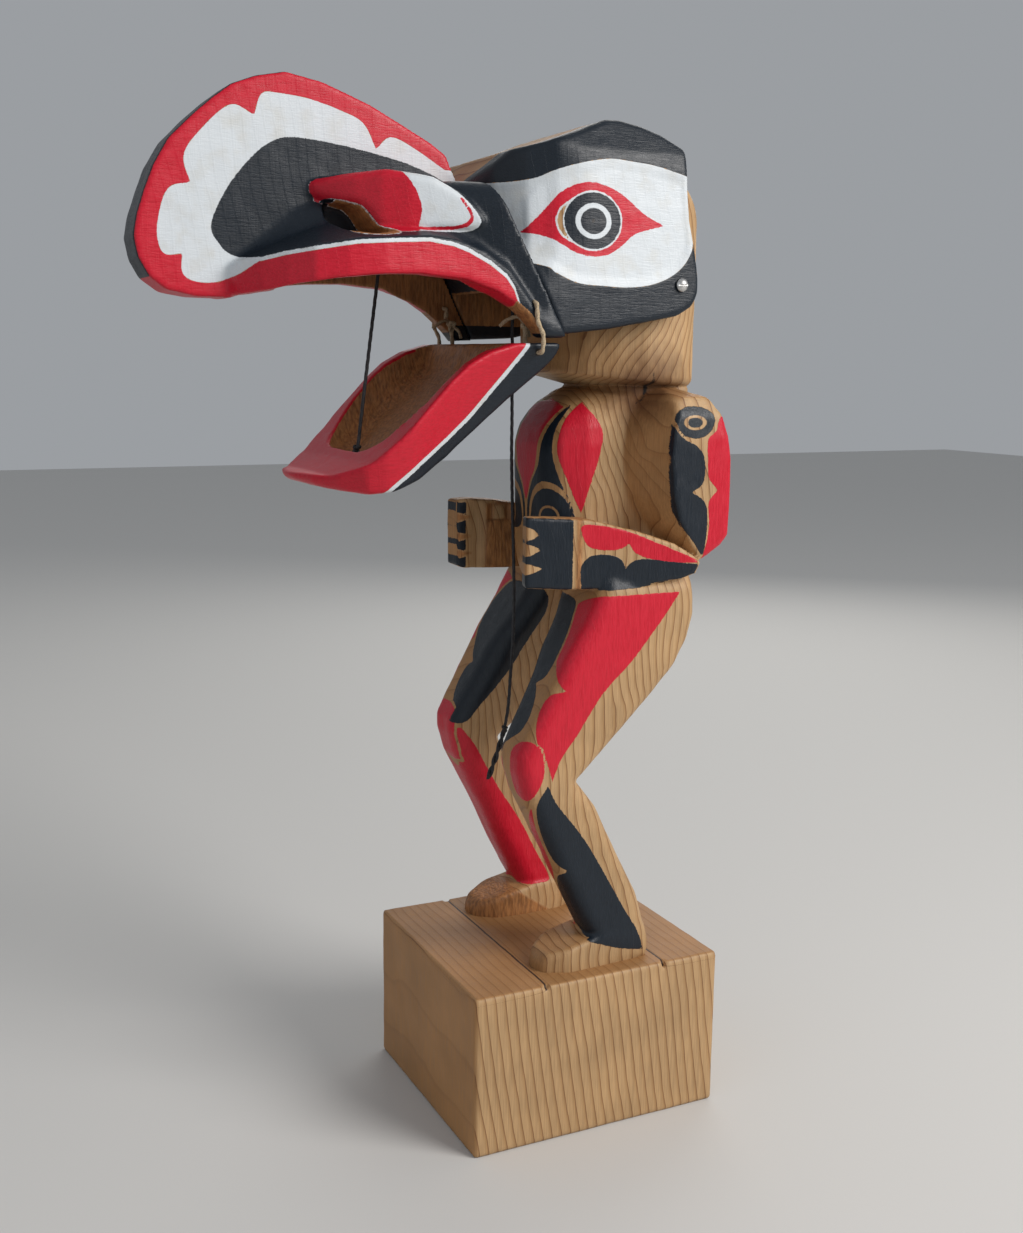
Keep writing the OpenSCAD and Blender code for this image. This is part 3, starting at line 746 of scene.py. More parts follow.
NOSTRIL_PLAN = [[0, -120], [10, -119], [18, -112], [26, -104], [33, -95], [38, -85], [42, -70],
                [46, -55], [46, -48], [0, -48]]
BEAK_HOLLOW_SIDE = [[-134, 280], [-131, 304], [-118, 313], [-100, 318], [-60, 320], [-30, 319],
                    [0, 300], [0, 270]]
BEAK_HOLLOW_PLAN = [[0, -134], [12, -133], [26, -127], [36, -117], [42, -100], [42, 0], [0, 0]]


def past_glue(blank):
    """Distance in front of the sloping plane where the beak is glued to the hood."""
    (y0, z0), (y1, z1) = GLUE
    length = math.hypot(y1 - y0, z1 - z0)
    _, y, z = blank.grid()
    return ((y0 - y) * (z1 - z0) + (z - z0) * (y1 - y0)) / length


# traced places, still to be drawn afresh as a design
HOOD_WHITE = [[-64, 344, 1], [-48, 344], [-39.5, 344.3], [-32.5, 345.7], [-25, 349], [-14, 352.2],
              [-2, 354.4], [8, 354], [21, 352.8], [36, 349.5, 1], [38, 337], [39.7, 324.5],
              [37.4, 316.4], [31, 309.6], [21, 305.1], [9, 303.2], [-4, 303.4], [-16, 304.2],
              [-26, 308], [-32, 311], [-64, 316, 1]]
CROWN = [[-60, 9], [-50, 13], [-46, 18], [-42, 24], [-36, 29], [-26, 32], [-10, 33], [46, 33]]
EYE = [[-38, 324.2, 1], [-32.2, 330.1], [-24.4, 339.4], [-16.5, 343.6], [-8.7, 344.6], [0.3, 342.4],
       [6.6, 339.2], [15, 333.4], [25, 329, 1], [11.4, 325.1], [5.2, 320.3], [-1.8, 316.2],
       [-9.4, 315.2], [-17, 316.6], [-24.1, 320.4], [-30, 322.8]]
IRIS = [[-9, 329.4], [12.9, 11.3]]
TAN_CRESCENT = [[-11.6, 329], [13.2, 9.4]]
EYE_RING = [[-8.8, 329.3], [7.2, 6.2]]
TWINE_HOLES = [[-33, 276], [-36, 296]]
TWINE_HOLE_HALF = 1.6
BEVEL = 4
RECESS = 0.9


def hood_hollow(blank):
    inside = blank.plan([[0, -60], [42, -60], [42, 80], [0, 80]])
    return np.maximum(blank.side(HOOD_HOLLOW), inside)


def hood_field(blank):
    x, _, _ = blank.grid()
    side = np.where(x > 0, blank.side(HOOD_SIDE, 1), blank.side(FAR_HOOD_SIDE, 1))
    plan = between_plans(blank, blank.plan(HOOD_LOW_PLAN, 1), blank.plan(HOOD_PLAN, 2),
                         [[298, 0], [322, 1]])
    hood = meet(side, plan, 2.5)
    hood = meet(hood, blank.front(HOOD_FRONT, 1), 2)
    return meet(cut(hood, hood_hollow(blank), 1), past_glue(blank), 0.25)


def make_hood(material):
    blank = Blank((-54, -62, 278), (54, 48, 378), STEP * 0.85)
    carving = Carving("mask_hood_carved", blank, hood_field(blank))
    paint = Paint(carving)
    x, y, z = paint.x, paint.y, paint.z
    outside = 0.7 - carving.read(hood_hollow(blank))
    white = both(drawn(HOOD_WHITE, y, z), outside)
    shown = both(facing(paint.outward, 0.1), white)
    carving.push(-RECESS * np.clip(-shown / BEVEL, 0, 1))
    crown = both(abs(x) - slope(CROWN, y), facing(paint.upward, 0.5))
    eye, iris = drawn(EYE, y, z), oval(y, z, *IRIS)
    side = facing(paint.outward, 0.2)
    crescent = both(oval(y, z, *TAN_CRESCENT), 0.5 - iris, y + 15)
    paint.add("white", shown)
    paint.add("red", eye, 0.7 - iris, side, 0.5 - crescent)
    paint.add("bare", crescent, side)
    paint.add("black", -white, -crown, outside, facing(paint.forward, -0.8))
    paint.add("black", iris, side)
    paint.add("ring", oval(y, z, *EYE_RING), side)
    paint.add("rough", -outside)
    # The bottom strip, inside as well as out, is painted black: black paint, and on the inner faces
    # painted shade in the gap above the jaw.
    paint.add("black", z - 288.5, y - 12)
    # The twine holes and the hole in the eye are not cut: dark discs paint the shade inside them.
    for hole in TWINE_HOLES:
        paint.add("dark", np.hypot(y - hole[0], z - hole[1]) - TWINE_HOLE_HALF, side)
    paint.add("dark", np.hypot(y - IRIS[0][0], z - IRIS[0][1]) - 0.9, side)
    carving.finish("figure", ["mask_hood"], material, paint.layers)


# traced places, still to be drawn afresh as a design
LIP_LINE = [[-142, 310.9], [-134.6, 313], [-124, 315], [-110.8, 317.3], [-96.6, 318.4],
            [-81.7, 319.3], [-71.7, 318], [-64.9, 315.8], [-55.9, 311.5], [-48.7, 306.6],
            [-45.2, 302], [-43, 296]]
LIP_LINE_WIDTH = 1.6
BEAK_WHITE = [[-57.9, 350.6, 1], [-71.4, 358.1], [-82, 362], [-88.5, 356.8, 1], [-94, 366.5],
              [-104, 370.7], [-116, 373.8], [-128.5, 375], [-136, 374.3], [-139.2, 365.9, 1],
              [-146.7, 369.3], [-152.6, 366.6], [-160, 359.4], [-165.9, 352.3], [-167.4, 346.6],
              [-165, 339, 1], [-172.1, 337.4], [-175.7, 332.8], [-178.3, 322.6], [-178.1, 315.9],
              [-175.6, 311.5], [-169, 312, 1], [-169.2, 305], [-165, 301.8], [-156.7, 301.4],
              [-149.5, 304], [-143, 309.2, 1]]
BEAK_BLACK = [[-143.4, 310.9, 1], [-149.4, 312.3], [-154, 315.9], [-157.4, 322.6], [-153.5, 333],
              [-147.3, 342.4], [-138.7, 352], [-131.3, 357.1], [-124, 358.8], [-111.5, 358.2],
              [-96.3, 356.2], [-78.1, 352.8], [-64.6, 348.6], [-57, 345, 1]]
NOSTRIL = [[-119.5, 343, 1], [-109, 345.4], [-98, 347], [-88, 347], [-77, 344.8], [-66, 338],
           [-58.6, 330], [-57.6, 325.6], [-62.5, 323], [-80, 322.6], [-88, 321.8],
           [-93, 322], [-98, 324], [-101, 329.4], [-104.5, 331.6], [-113, 333.6], [-119.5, 336.6, 1]]
NOSTRIL_TIP = [[-120, 350, 1], [-90, 352, 1], [-86.5, 344.5], [-82.4, 338], [-80.4, 331],
               [-82, 322.9], [-84, 318, 1], [-120, 318, 1]]
NOSTRIL_LINE = [[-84, 324.6, 1], [-77, 324.4], [-66.4, 325.2], [-62.4, 327.2], [-62, 330],
                [-66, 336.4, 1], [-64.6, 336.2, 1], [-60.6, 330], [-61, 326.2], [-65.6, 323.9],
                [-77, 323.1], [-84, 323.2, 1]]
NOSTRIL_CAVITY = [[-112.5, 334.4], [-103.2, 332.5], [-100, 330], [-96, 324], [-92, 321.6],
                  [-102, 320.4], [-110.5, 322], [-113, 328]]


def beak_hollow(blank):
    return meet(blank.side(BEAK_HOLLOW_SIDE, 2), blank.plan(BEAK_HOLLOW_PLAN, 1), 6)


def beak_field(blank):
    x, y, z = blank.grid()
    crest = meet(blank.side(CREST_SIDE, 1), abs(x) - CREST_HALF, 1.2)
    lip_plan = blank.plan(LIP_PLAN)
    edge = np.where(x > 0, slope(LIP_LOW, blank.y)[None, :, None],
                    slope(FAR_LIP_LOW, blank.y)[None, :, None])
    low = edge - z
    high = z - slope(LIP_HIGH, blank.y)[None, :, None] + SHELF_RISE * np.minimum(lip_plan, 0)
    lip = meet(meet(low, high, 0.8), lip_plan, 1.0)
    cheek = meet(blank.side(CHEEK_SIDE, 1), blank.plan(CHEEK_PLAN, 2), 12)
    cheek = meet(cheek, low, 0.8)
    beak = join(crest, join(lip, cheek, 5), 1.5)
    nostril = meet(blank.side(NOSTRIL_SIDE, 1), blank.plan(NOSTRIL_PLAN, 1), 3.5)
    beak = join(beak, nostril, 0.8)
    cavity = meet(blank.side(NOSTRIL_CAVITY, 1), 9.5 - abs(x), 2)
    beak = cut(beak, cavity, 0.4)
    return meet(cut(beak, beak_hollow(blank), 0.8), -past_glue(blank), 0.25)


def make_beak(material):
    blank = Blank((-55, -191, 281), (55, -14, 387), STEP * 0.85)
    carving = Carving("upper_beak_carved", blank, beak_field(blank))
    paint = Paint(carving)
    x, y, z = paint.x, paint.y, paint.z
    outside = 0.8 - carving.read(beak_hollow(blank))
    line = [[p[0] - 0.3, p[1] - LIP_LINE_WIDTH] for p in LIP_LINE]
    behind = [[-40, 280, 1], [-10, 276, 1], [-10, 350, 1]]
    field = drawn(BEAK_BLACK + behind[::-1] + [p + [1] for p in LIP_LINE[::-1]], y, z, 4)
    white = drawn(BEAK_WHITE + [p + [1] for p in line] + behind, y, z, 4)
    nostril = both(drawn(NOSTRIL, y, z), 10.6 - abs(x))
    cavity = both(drawn(NOSTRIL_CAVITY, y, z) - 0.5, 9 - abs(x), paint.outward * 4 - 2.8)
    nostril = both(nostril, 0.3 - cavity)
    cavity = both(cavity, -109.5 - y)
    rim = both(facing(1 - abs(paint.outward), 0.45), facing(paint.upward + paint.forward, 0),
               abs(x) - 11)
    shown = both(facing(paint.outward, 0.02), outside)
    paint.add("red", outside)
    white = both(white, shown)
    paint.add("white", white)
    paint.layers["red"] = np.maximum(paint.layers["red"], -white)
    tip = both(nostril, drawn(NOSTRIL_TIP, y, z))
    paint.add("red", tip)
    paint.add("red", drawn(NOSTRIL_LINE, y, z), nostril)
    paint.add("black", field, shown, -nostril, 0.2 - cavity)
    paint.add("black", field, -nostril, 12 - abs(x), facing(-paint.forward, 0.2), -70 - y)
    paint.add("black", rim)
    # The hollow under the nostril is bare wood, painted darker as cut wood: painted shade in the recess.
    paint.add("bare", cavity)
    paint.add("rough", cavity)
    paint.add("rough", -outside)
    # The bottom strip near the hinge, inside as well as out, is painted black: black paint, and on the
    # inner faces painted shade in the gap above the jaw.
    paint.add("black", z - 288.5, -33 - y)
    lip_end = both(facing(-paint.upward, 0.15), -44.5 - y, y + 33)
    paint.add("bare", lip_end)
    paint.add("rough", lip_end)
    carving.finish("figure", ["upper_beak"], material, paint.layers)


JAW_SIDE = [[-22, 280], [-43, 279.5], [-55, 276], [-64, 271], [-71, 265], [-80, 255.5],
            [-93, 241.5], [-104, 231.5], [-116, 226], [-127, 226], [-126, 223.5], [-117, 220.5],
            [-103, 218.5], [-92, 219.5], [-81, 224], [-68, 233], [-56, 244], [-41, 258],
            [-31, 267], [-23, 275]]
JAW_RIM = [[-127, 226], [-116, 226], [-104, 231.5], [-93, 241.5], [-80, 255.5], [-71, 265],
           [-64, 271], [-55, 276], [-43, 279.5], [-22, 280]]
JAW_PLAN = [[0, -127], [5, -126.5], [20, -122], [33, -115], [43, -107], [48, -99],
            [51, -88], [51, -22], [0, -22]]
JAW_HOLLOW_SIDE = [[-104, 236], [-100, 230.5], [-94, 229.6], [-84, 235], [-75, 243], [-55, 261],
                   [-45, 269], [-39, 281], [-39, 300], [-104, 300]]
JAW_HOLLOW_PLAN = [[0, -103], [17, -102], [25, -99], [32, -94.5], [38, -88], [42.5, -80],
                   [44, -70], [42.5, -59], [42, -39], [0, -39]]
JAW_FLARE = 0.55

# traced places, still to be drawn afresh as a design
JAW_LINE = [[-39, 282, 1], [-39, 279.3], [-44.3, 271.6], [-52.5, 261], [-61, 250.4], [-71, 241],
            [-82, 232.2], [-94.3, 222], [-102, 214, 1]]
JAW_UNDER = [[-60, 205, 1], [-10, 205, 1], [-10, 285, 1]]
JAW_LINE_SHIFT = (1.5, -1.2)


def below_rim(blank):
    """Depth under the jaw's rim, measured across its slope."""
    _, _, z = blank.grid()
    return np.maximum(slope(JAW_RIM, blank.y)[None, :, None] - z, 0) * 0.75


def jaw_hollow(blank):
    plan = blank.plan(JAW_HOLLOW_PLAN, 1) + 0.5 * below_rim(blank)
    return meet(blank.side(JAW_HOLLOW_SIDE, 2), plan, 7)


def jaw_field(blank):
    side = blank.side(JAW_SIDE, 2)
    outside = (blank.plan(JAW_PLAN, 1) + JAW_FLARE * below_rim(blank)) * 0.88
    return cut(meet(side, outside, 1.6), jaw_hollow(blank), 0.8)


def make_jaw(material):
    blank = Blank((-54, -131, 215), (54, -18, 284), STEP * 0.85)
    carving = Carving("lower_beak_carved", blank, jaw_field(blank))
    paint = Paint(carving)
    y, z = paint.y, paint.z
    hollow = carving.read(jaw_hollow(blank))
    outside = 0.9 - hollow
    white = both(drawn(JAW_LINE + JAW_UNDER, y, z, 4), outside)
    moved = [[p[0] + JAW_LINE_SHIFT[0], p[1] + JAW_LINE_SHIFT[1]] + p[2:] for p in JAW_LINE]
    black = both(drawn(moved + JAW_UNDER, y, z, 4), outside)
    paint.add("red", outside, -white)
    paint.add("red", slope(JAW_RIM, y) - z - np.where(paint.x > 0, 4.5, 1.5), y + 50)
    paint.add("white", white)
    paint.add("black", black)
    # The twine hole is not cut: a dark disc paints the shade inside it.
    hole_y, hole_z = TWINE_HOLES[0]
    hole = np.hypot(y - hole_y, z - hole_z) - TWINE_HOLE_HALF
    paint.add("dark", hole, facing(paint.outward, 0.3))
    paint.add("rough", -outside)
    carving.push(0.45 * np.where(hollow < 0.6, waves(carving.at, 6, 5), 0))
    carving.finish("jaw", ["lower_beak"], material, paint.layers)


# ---------------------------------------------------------------- strings and screws

PULL_ROUTE = [[-5, -18.3, 327], [-5, -18.3, 312], [-5, -18.3, 296], [-5, -18.3, 280],
              [-5, -18.2, 264], [-5, -18, 248], [-5, -18, 232], [-5, -17.6, 216],
              [-5, -17, 200], [-5, -16.4, 184], [-5, -16, 168], [-5, -16, 152],
              [-5, -16.6, 138], [-5, -17.4, 126], [-5, -18, 116], [-5, -18.8, 109],
              [-5, -20, 103]]
TAIL_ROUTE = [[-5, -20, 103], [-5, -21, 99], [-5, -22.6, 94], [-5, -24.8, 88], [-5, -27, 82],
              [-5, -28.5, 78.5]]
INNER_ROUTE = [[0, -83.2, 314.6], [0, -82.9, 315.9], [0, -82, 316.9], [-0.2, -80.5, 317.4],
               [-0.5, -74, 318.2], [-1, -66, 320.8], [-2, -52, 326], [-3, -40, 330.5],
               [-4, -31, 333.8], [-4.6, -25.5, 334.8], [-4.9, -21, 333.5], [-5, -18.9, 331],
               [-5, -18.3, 328.6], [-5, -18.3, 327]]
KNOT_AT = [0, -95, 231]
RUN_FROM = [0, -93.2, 240]
RUN_TO = [0, -83.2, 314.4]
CORD_D = 1.6
TWINE_D = 2.0
OUTER_TWINE_X = 53.3
INNER_TWINE_X = 38


def evenly(points, spacing):
    """Points this far apart along a smooth open curve through the given ones."""
    points = np.array(points, float)
    ends = np.vstack([2 * points[0] - points[1], points, 2 * points[-1] - points[-2]])
    fine = []
    for before, here, there, after in zip(ends, ends[1:], ends[2:], ends[3:]):
        for t in np.arange(8) / 8:
            fine.append(along_curve(before, here, there, after, t))
    fine = np.array(fine + [points[-1]])
    travelled = np.concatenate([[0], np.cumsum(np.linalg.norm(np.diff(fine, axis=0), axis=1))])
    stops = np.linspace(0, travelled[-1], max(int(travelled[-1] / spacing), 2) + 1)
    return np.stack([np.interp(stops, travelled, fine[:, k]) for k in range(3)], axis=1)


def laid(name, route, diameter, material, strands=3, pitch=4.5, depth=0.22):
    """A laid string along a route: its strands show as a lobed section that turns as it goes."""
    spacing = 0.45
    line = evenly(route, spacing)
    along = np.gradient(line, axis=0)
    along /= np.linalg.norm(along, axis=1)[:, None]
    side = np.cross(along[0], (0.3, 0.9, 0.1))
    angles = np.arange(6 * strands) / (6 * strands) * 2 * math.pi
    rings = []
    for k, (centre, ahead) in enumerate(zip(line, along)):
        side = side - ahead * (side @ ahead)
        side = side / np.linalg.norm(side)
        other = np.cross(ahead, side)
        turn = 2 * math.pi * k * spacing / pitch / strands
        radius = diameter / 2 * (1 - depth + depth * abs(np.cos(strands * (angles - turn) / 2)))
        rings.append(centre + radius[:, None] * (np.cos(angles)[:, None] * side
                                                 + np.sin(angles)[:, None] * other))
    count = len(angles)
    vertices = np.vstack(rings + [line[:1], line[-1:]])
    first, last = len(vertices) - 2, len(vertices) - 1
    faces = []
    for k in range(len(line) - 1):
        for i in range(count):
            j = (i + 1) % count
            faces.append((k * count + i, k * count + j, (k + 1) * count + j, (k + 1) * count + i))
    end = (len(line) - 1) * count
    for i in range(count):
        j = (i + 1) % count
        faces += [(first, j, i), (last, end + i, end + j)]
    return meshed(name, vertices, faces, material)


def joined(name, strings):
    """Several strings as one piece."""
    bpy.ops.object.select_all(action="DESELECT")
    for string in strings:
        string.select_set(True)
    bpy.context.view_layer.objects.active = strings[0]
    bpy.ops.object.join()
    strings[0].name = name
    return strings[0]


def overhand(centre, size, lean=0.0):
    """The route of a small overhand knot that runs up through its centre."""
    turns = np.linspace(-0.15, 1.15, 22) * 2 * math.pi
    route = []
    for t in turns:
        u = size * (math.sin(t) + 0.9 * math.sin(2 * t)) * 0.5
        v = size * (math.cos(t) - 0.9 * math.cos(2 * t)) * 0.5
        w = -size * 0.45 * math.sin(3 * t)
        route.append([centre[0] + u, centre[1] + w + lean * v, centre[2] + v])
    return route


def make_cords(material):
    hanging = laid("pull_cord_laid", PULL_ROUTE, CORD_D, material)
    strands = []
    for start in (0, math.pi):
        line = evenly(TAIL_ROUTE, 1.0)
        turn = np.arange(len(line)) * 1.0 / 13 * 2 * math.pi + start
        spread = 0.72 * np.clip(np.arange(len(line)) / 4, 0.3, 1)
        line[:, 0] += spread * np.cos(turn)
        line[:, 1] += spread * np.sin(turn)
        strands.append(laid("strand", line, CORD_D * 0.95, material))
    strands.append(laid("knot", overhand((-5, -20, 102), 1.5), 1.5, material))
    tail = joined("pull_cord_tail", strands)
    stand_in(hanging, "pull", ["pull_cord"])
    stand_in(tail, "pull", ["pull_cord_end"])
    inner = laid("cord_inner_laid", INNER_ROUTE, CORD_D, material)
    stand_in(inner, "figure", ["cord_inner_run"])
    front = laid("cord_front_laid", [RUN_FROM, [0.2, -88.4, 277], RUN_TO], CORD_D, material)
    stand_in(front, "jaw", ["cord_front_run"])
    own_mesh(front)
    x, y, z = KNOT_AT
    loop = overhand((x, y + 0.6, z + 3.6), 2.0, 0.25)
    start = [[x, y - 0.4, z + 0.2], [x + 0.6, y - 0.2, z + 1.0]]
    end = [[x + 1, y - 0.2, z + 3], [x + 3, y - 1.6, z + 2.4], [x + 4.4, y - 2.6, z + 0.9]]
    knot = [laid("knot", start + loop + [RUN_FROM], CORD_D, material),
            laid("end", end, CORD_D * 0.9, material)]
    knot = joined("jaw_cord_overhand", knot)
    stand_in(knot, "jaw", ["jaw_cord_knot"])


def make_hinge_twine(side, name, material):
    """One length of twine: through the mask, down outside, through the beak, knotted inside."""
    (low_y, low_z), (high_y, high_z) = TWINE_HOLES
    out, inner = OUTER_TWINE_X, INNER_TWINE_X
    loop = [[inner, high_y - 0.6, high_z - 5], [inner + 0.3, high_y, high_z - 1],
            [inner + 2.5, high_y, high_z],
            [out - 4, high_y, high_z], [out - 1, high_y, high_z - 0.2], [out + 0.2, high_y, high_z - 2],
            [out + 0.7, high_y + 0.4, high_z - 8], [out + 0.6, low_y - 0.2, low_z + 7],
            [out + 0.2, low_y, low_z + 2], [out - 1, low_y, low_z + 0.1], [out - 4, low_y, low_z],
            [inner + 2.5, low_y, low_z], [inner + 0.2, low_y, low_z + 1.2],
            [inner - 0.3, low_y - 0.4, low_z + 6],
            [inner + 0.3, low_y - 0.6, low_z + 10.5]]
    knot = overhand((inner, low_y - 0.6, low_z + 12.4), 2.3)
    ends = [[[inner + 0.5, low_y - 1, low_z + 13], [inner - 1.5, low_y - 4, low_z + 14.5],
             [inner - 2.6, low_y - 8, low_z + 13], [inner - 2.4, low_y - 11, low_z + 10.6]],
            [[inner - 0.5, low_y, low_z + 12], [inner - 2.4, low_y + 2, low_z + 9.6],
             [inner - 3, low_y + 3, low_z + 6.4]]]
    routes = [loop, knot] + ends
    mirrored = [[[side * p[0], p[1], p[2]] for p in route] for route in routes]
    pieces = [laid("twine", route, TWINE_D * size, material, strands=2, pitch=4, depth=0.3)
              for route, size in zip(mirrored, (1, 0.95, 0.85, 0.8))]
    twine = joined(name + "_laid", pieces)
    stand_in(twine, "figure", [name])


# ---------------------------------------------------------------- materials


def new_material(name):
    material = bpy.data.materials.new(name)
    material.use_nodes = True
    return material, material.node_tree.nodes["Principled BSDF"], material.node_tree


class Nodes:
    """Adds nodes to a material's tree, their inputs given as numbers or as links."""

    def __init__(self, tree):
        self.tree = tree

    def add(self, kind, inputs, **settings):
        node = self.tree.nodes.new("ShaderNode" + kind)
        for name, value in settings.items():
            setattr(node, name, value)
        for name, value in inputs.items():
            if isinstance(value, bpy.types.NodeSocket):
                self.tree.links.new(value, node.inputs[name])
            else:
                node.inputs[name].default_value = value
        return node

    def math(self, operation, *values, clamp=False):
        node = self.add("Math", dict(enumerate(values)), operation=operation, use_clamp=clamp)
        return node.outputs[0]

    def mix(self, factor, a, b, blend="MIX"):
        node = self.add("Mix", {0: factor, 6: a, 7: b}, data_type="RGBA", blend_type=blend)
        return node.outputs[2]

    def scaled(self, at, scale):
        """The place stretched along each axis."""
        return self.add("VectorMath", {0: at, 1: scale}, operation="MULTIPLY").outputs[0]

    def place(self):
        """The place on the object, in millimetres."""
        return self.scaled(self.add("TexCoord", {}).outputs["Object"], (1000, 1000, 1000))

    def away(self, at, centre):
        node = self.add("VectorMath", {0: at, 1: centre}, operation="DISTANCE")
        return node.outputs["Value"]

    def noise(self, at, scale, detail=2.0):
        node = self.add("TexNoise", {"Vector": at, "Scale": scale, "Detail": detail})
        return node.outputs["Fac"]

    def ramp(self, factor, stops):
        node = self.add("ValToRGB", {0: factor})
        elements = node.color_ramp.elements
        while len(elements) < len(stops):
            elements.new(0.5)
        for element, (place, colour) in zip(elements, stops):
            element.position = place
            element.color = (*colour, 1) if len(colour) == 3 else colour
        return node.outputs[0]

    def between(self, value, low, high, to_low=0.0, to_high=1.0):
        inputs = {"Value": value, "From Min": low, "From Max": high,
                  "To Min": to_low, "To Max": to_high}
        return self.add("MapRange", inputs).outputs[0]


WOOD_LIGHT = (0.47, 0.295, 0.145)
WOOD_MID = (0.385, 0.22, 0.095)
WOOD_RING = (0.215, 0.105, 0.044)
# tint of chisel-cut wood, also used as painted shade
WOOD_CUT_AND_SHADE = (1.0, 0.78, 0.62, 1)
# tint of the painted shade on front and top faces of the wood
WOOD_SHADE_TINT = (0.86, 0.66, 0.47, 1)
STAIN = (0.36, 0.27, 0.24, 1)
RED = (0.56, 0.009, 0.028, 1)
RED_DEEP = (0.47, 0.006, 0.020, 1)
RED_PALE = (0.62, 0.030, 0.060, 1)
BLACK = (0.007, 0.0115, 0.018, 1)
BLACK_PALE = (0.012, 0.019, 0.029, 1)
WHITE = (0.62, 0.66, 0.69, 1)
WHITE_DIRTY = (0.52, 0.50, 0.44, 1)
# dark of the crack, and of the painted shade in holes
GAP_DARK = (0.012, 0.008, 0.006, 1)
# dark of the painted shade in the saw cuts
SAW_LINE = (0.035, 0.014, 0.007, 1)
KNOTS = [[(33, 27, 337), 34, 16], [(38, 26, 308), 30, 12], [(46, 24, 372), 34, -15],
         [(-38, 22, 340), 30, 12], [(20, 50, 180), 34, 10], [(-22, 44, 190), 30, -12]]
RING_SPACING = 4.6
RING_LEAN = 0.16


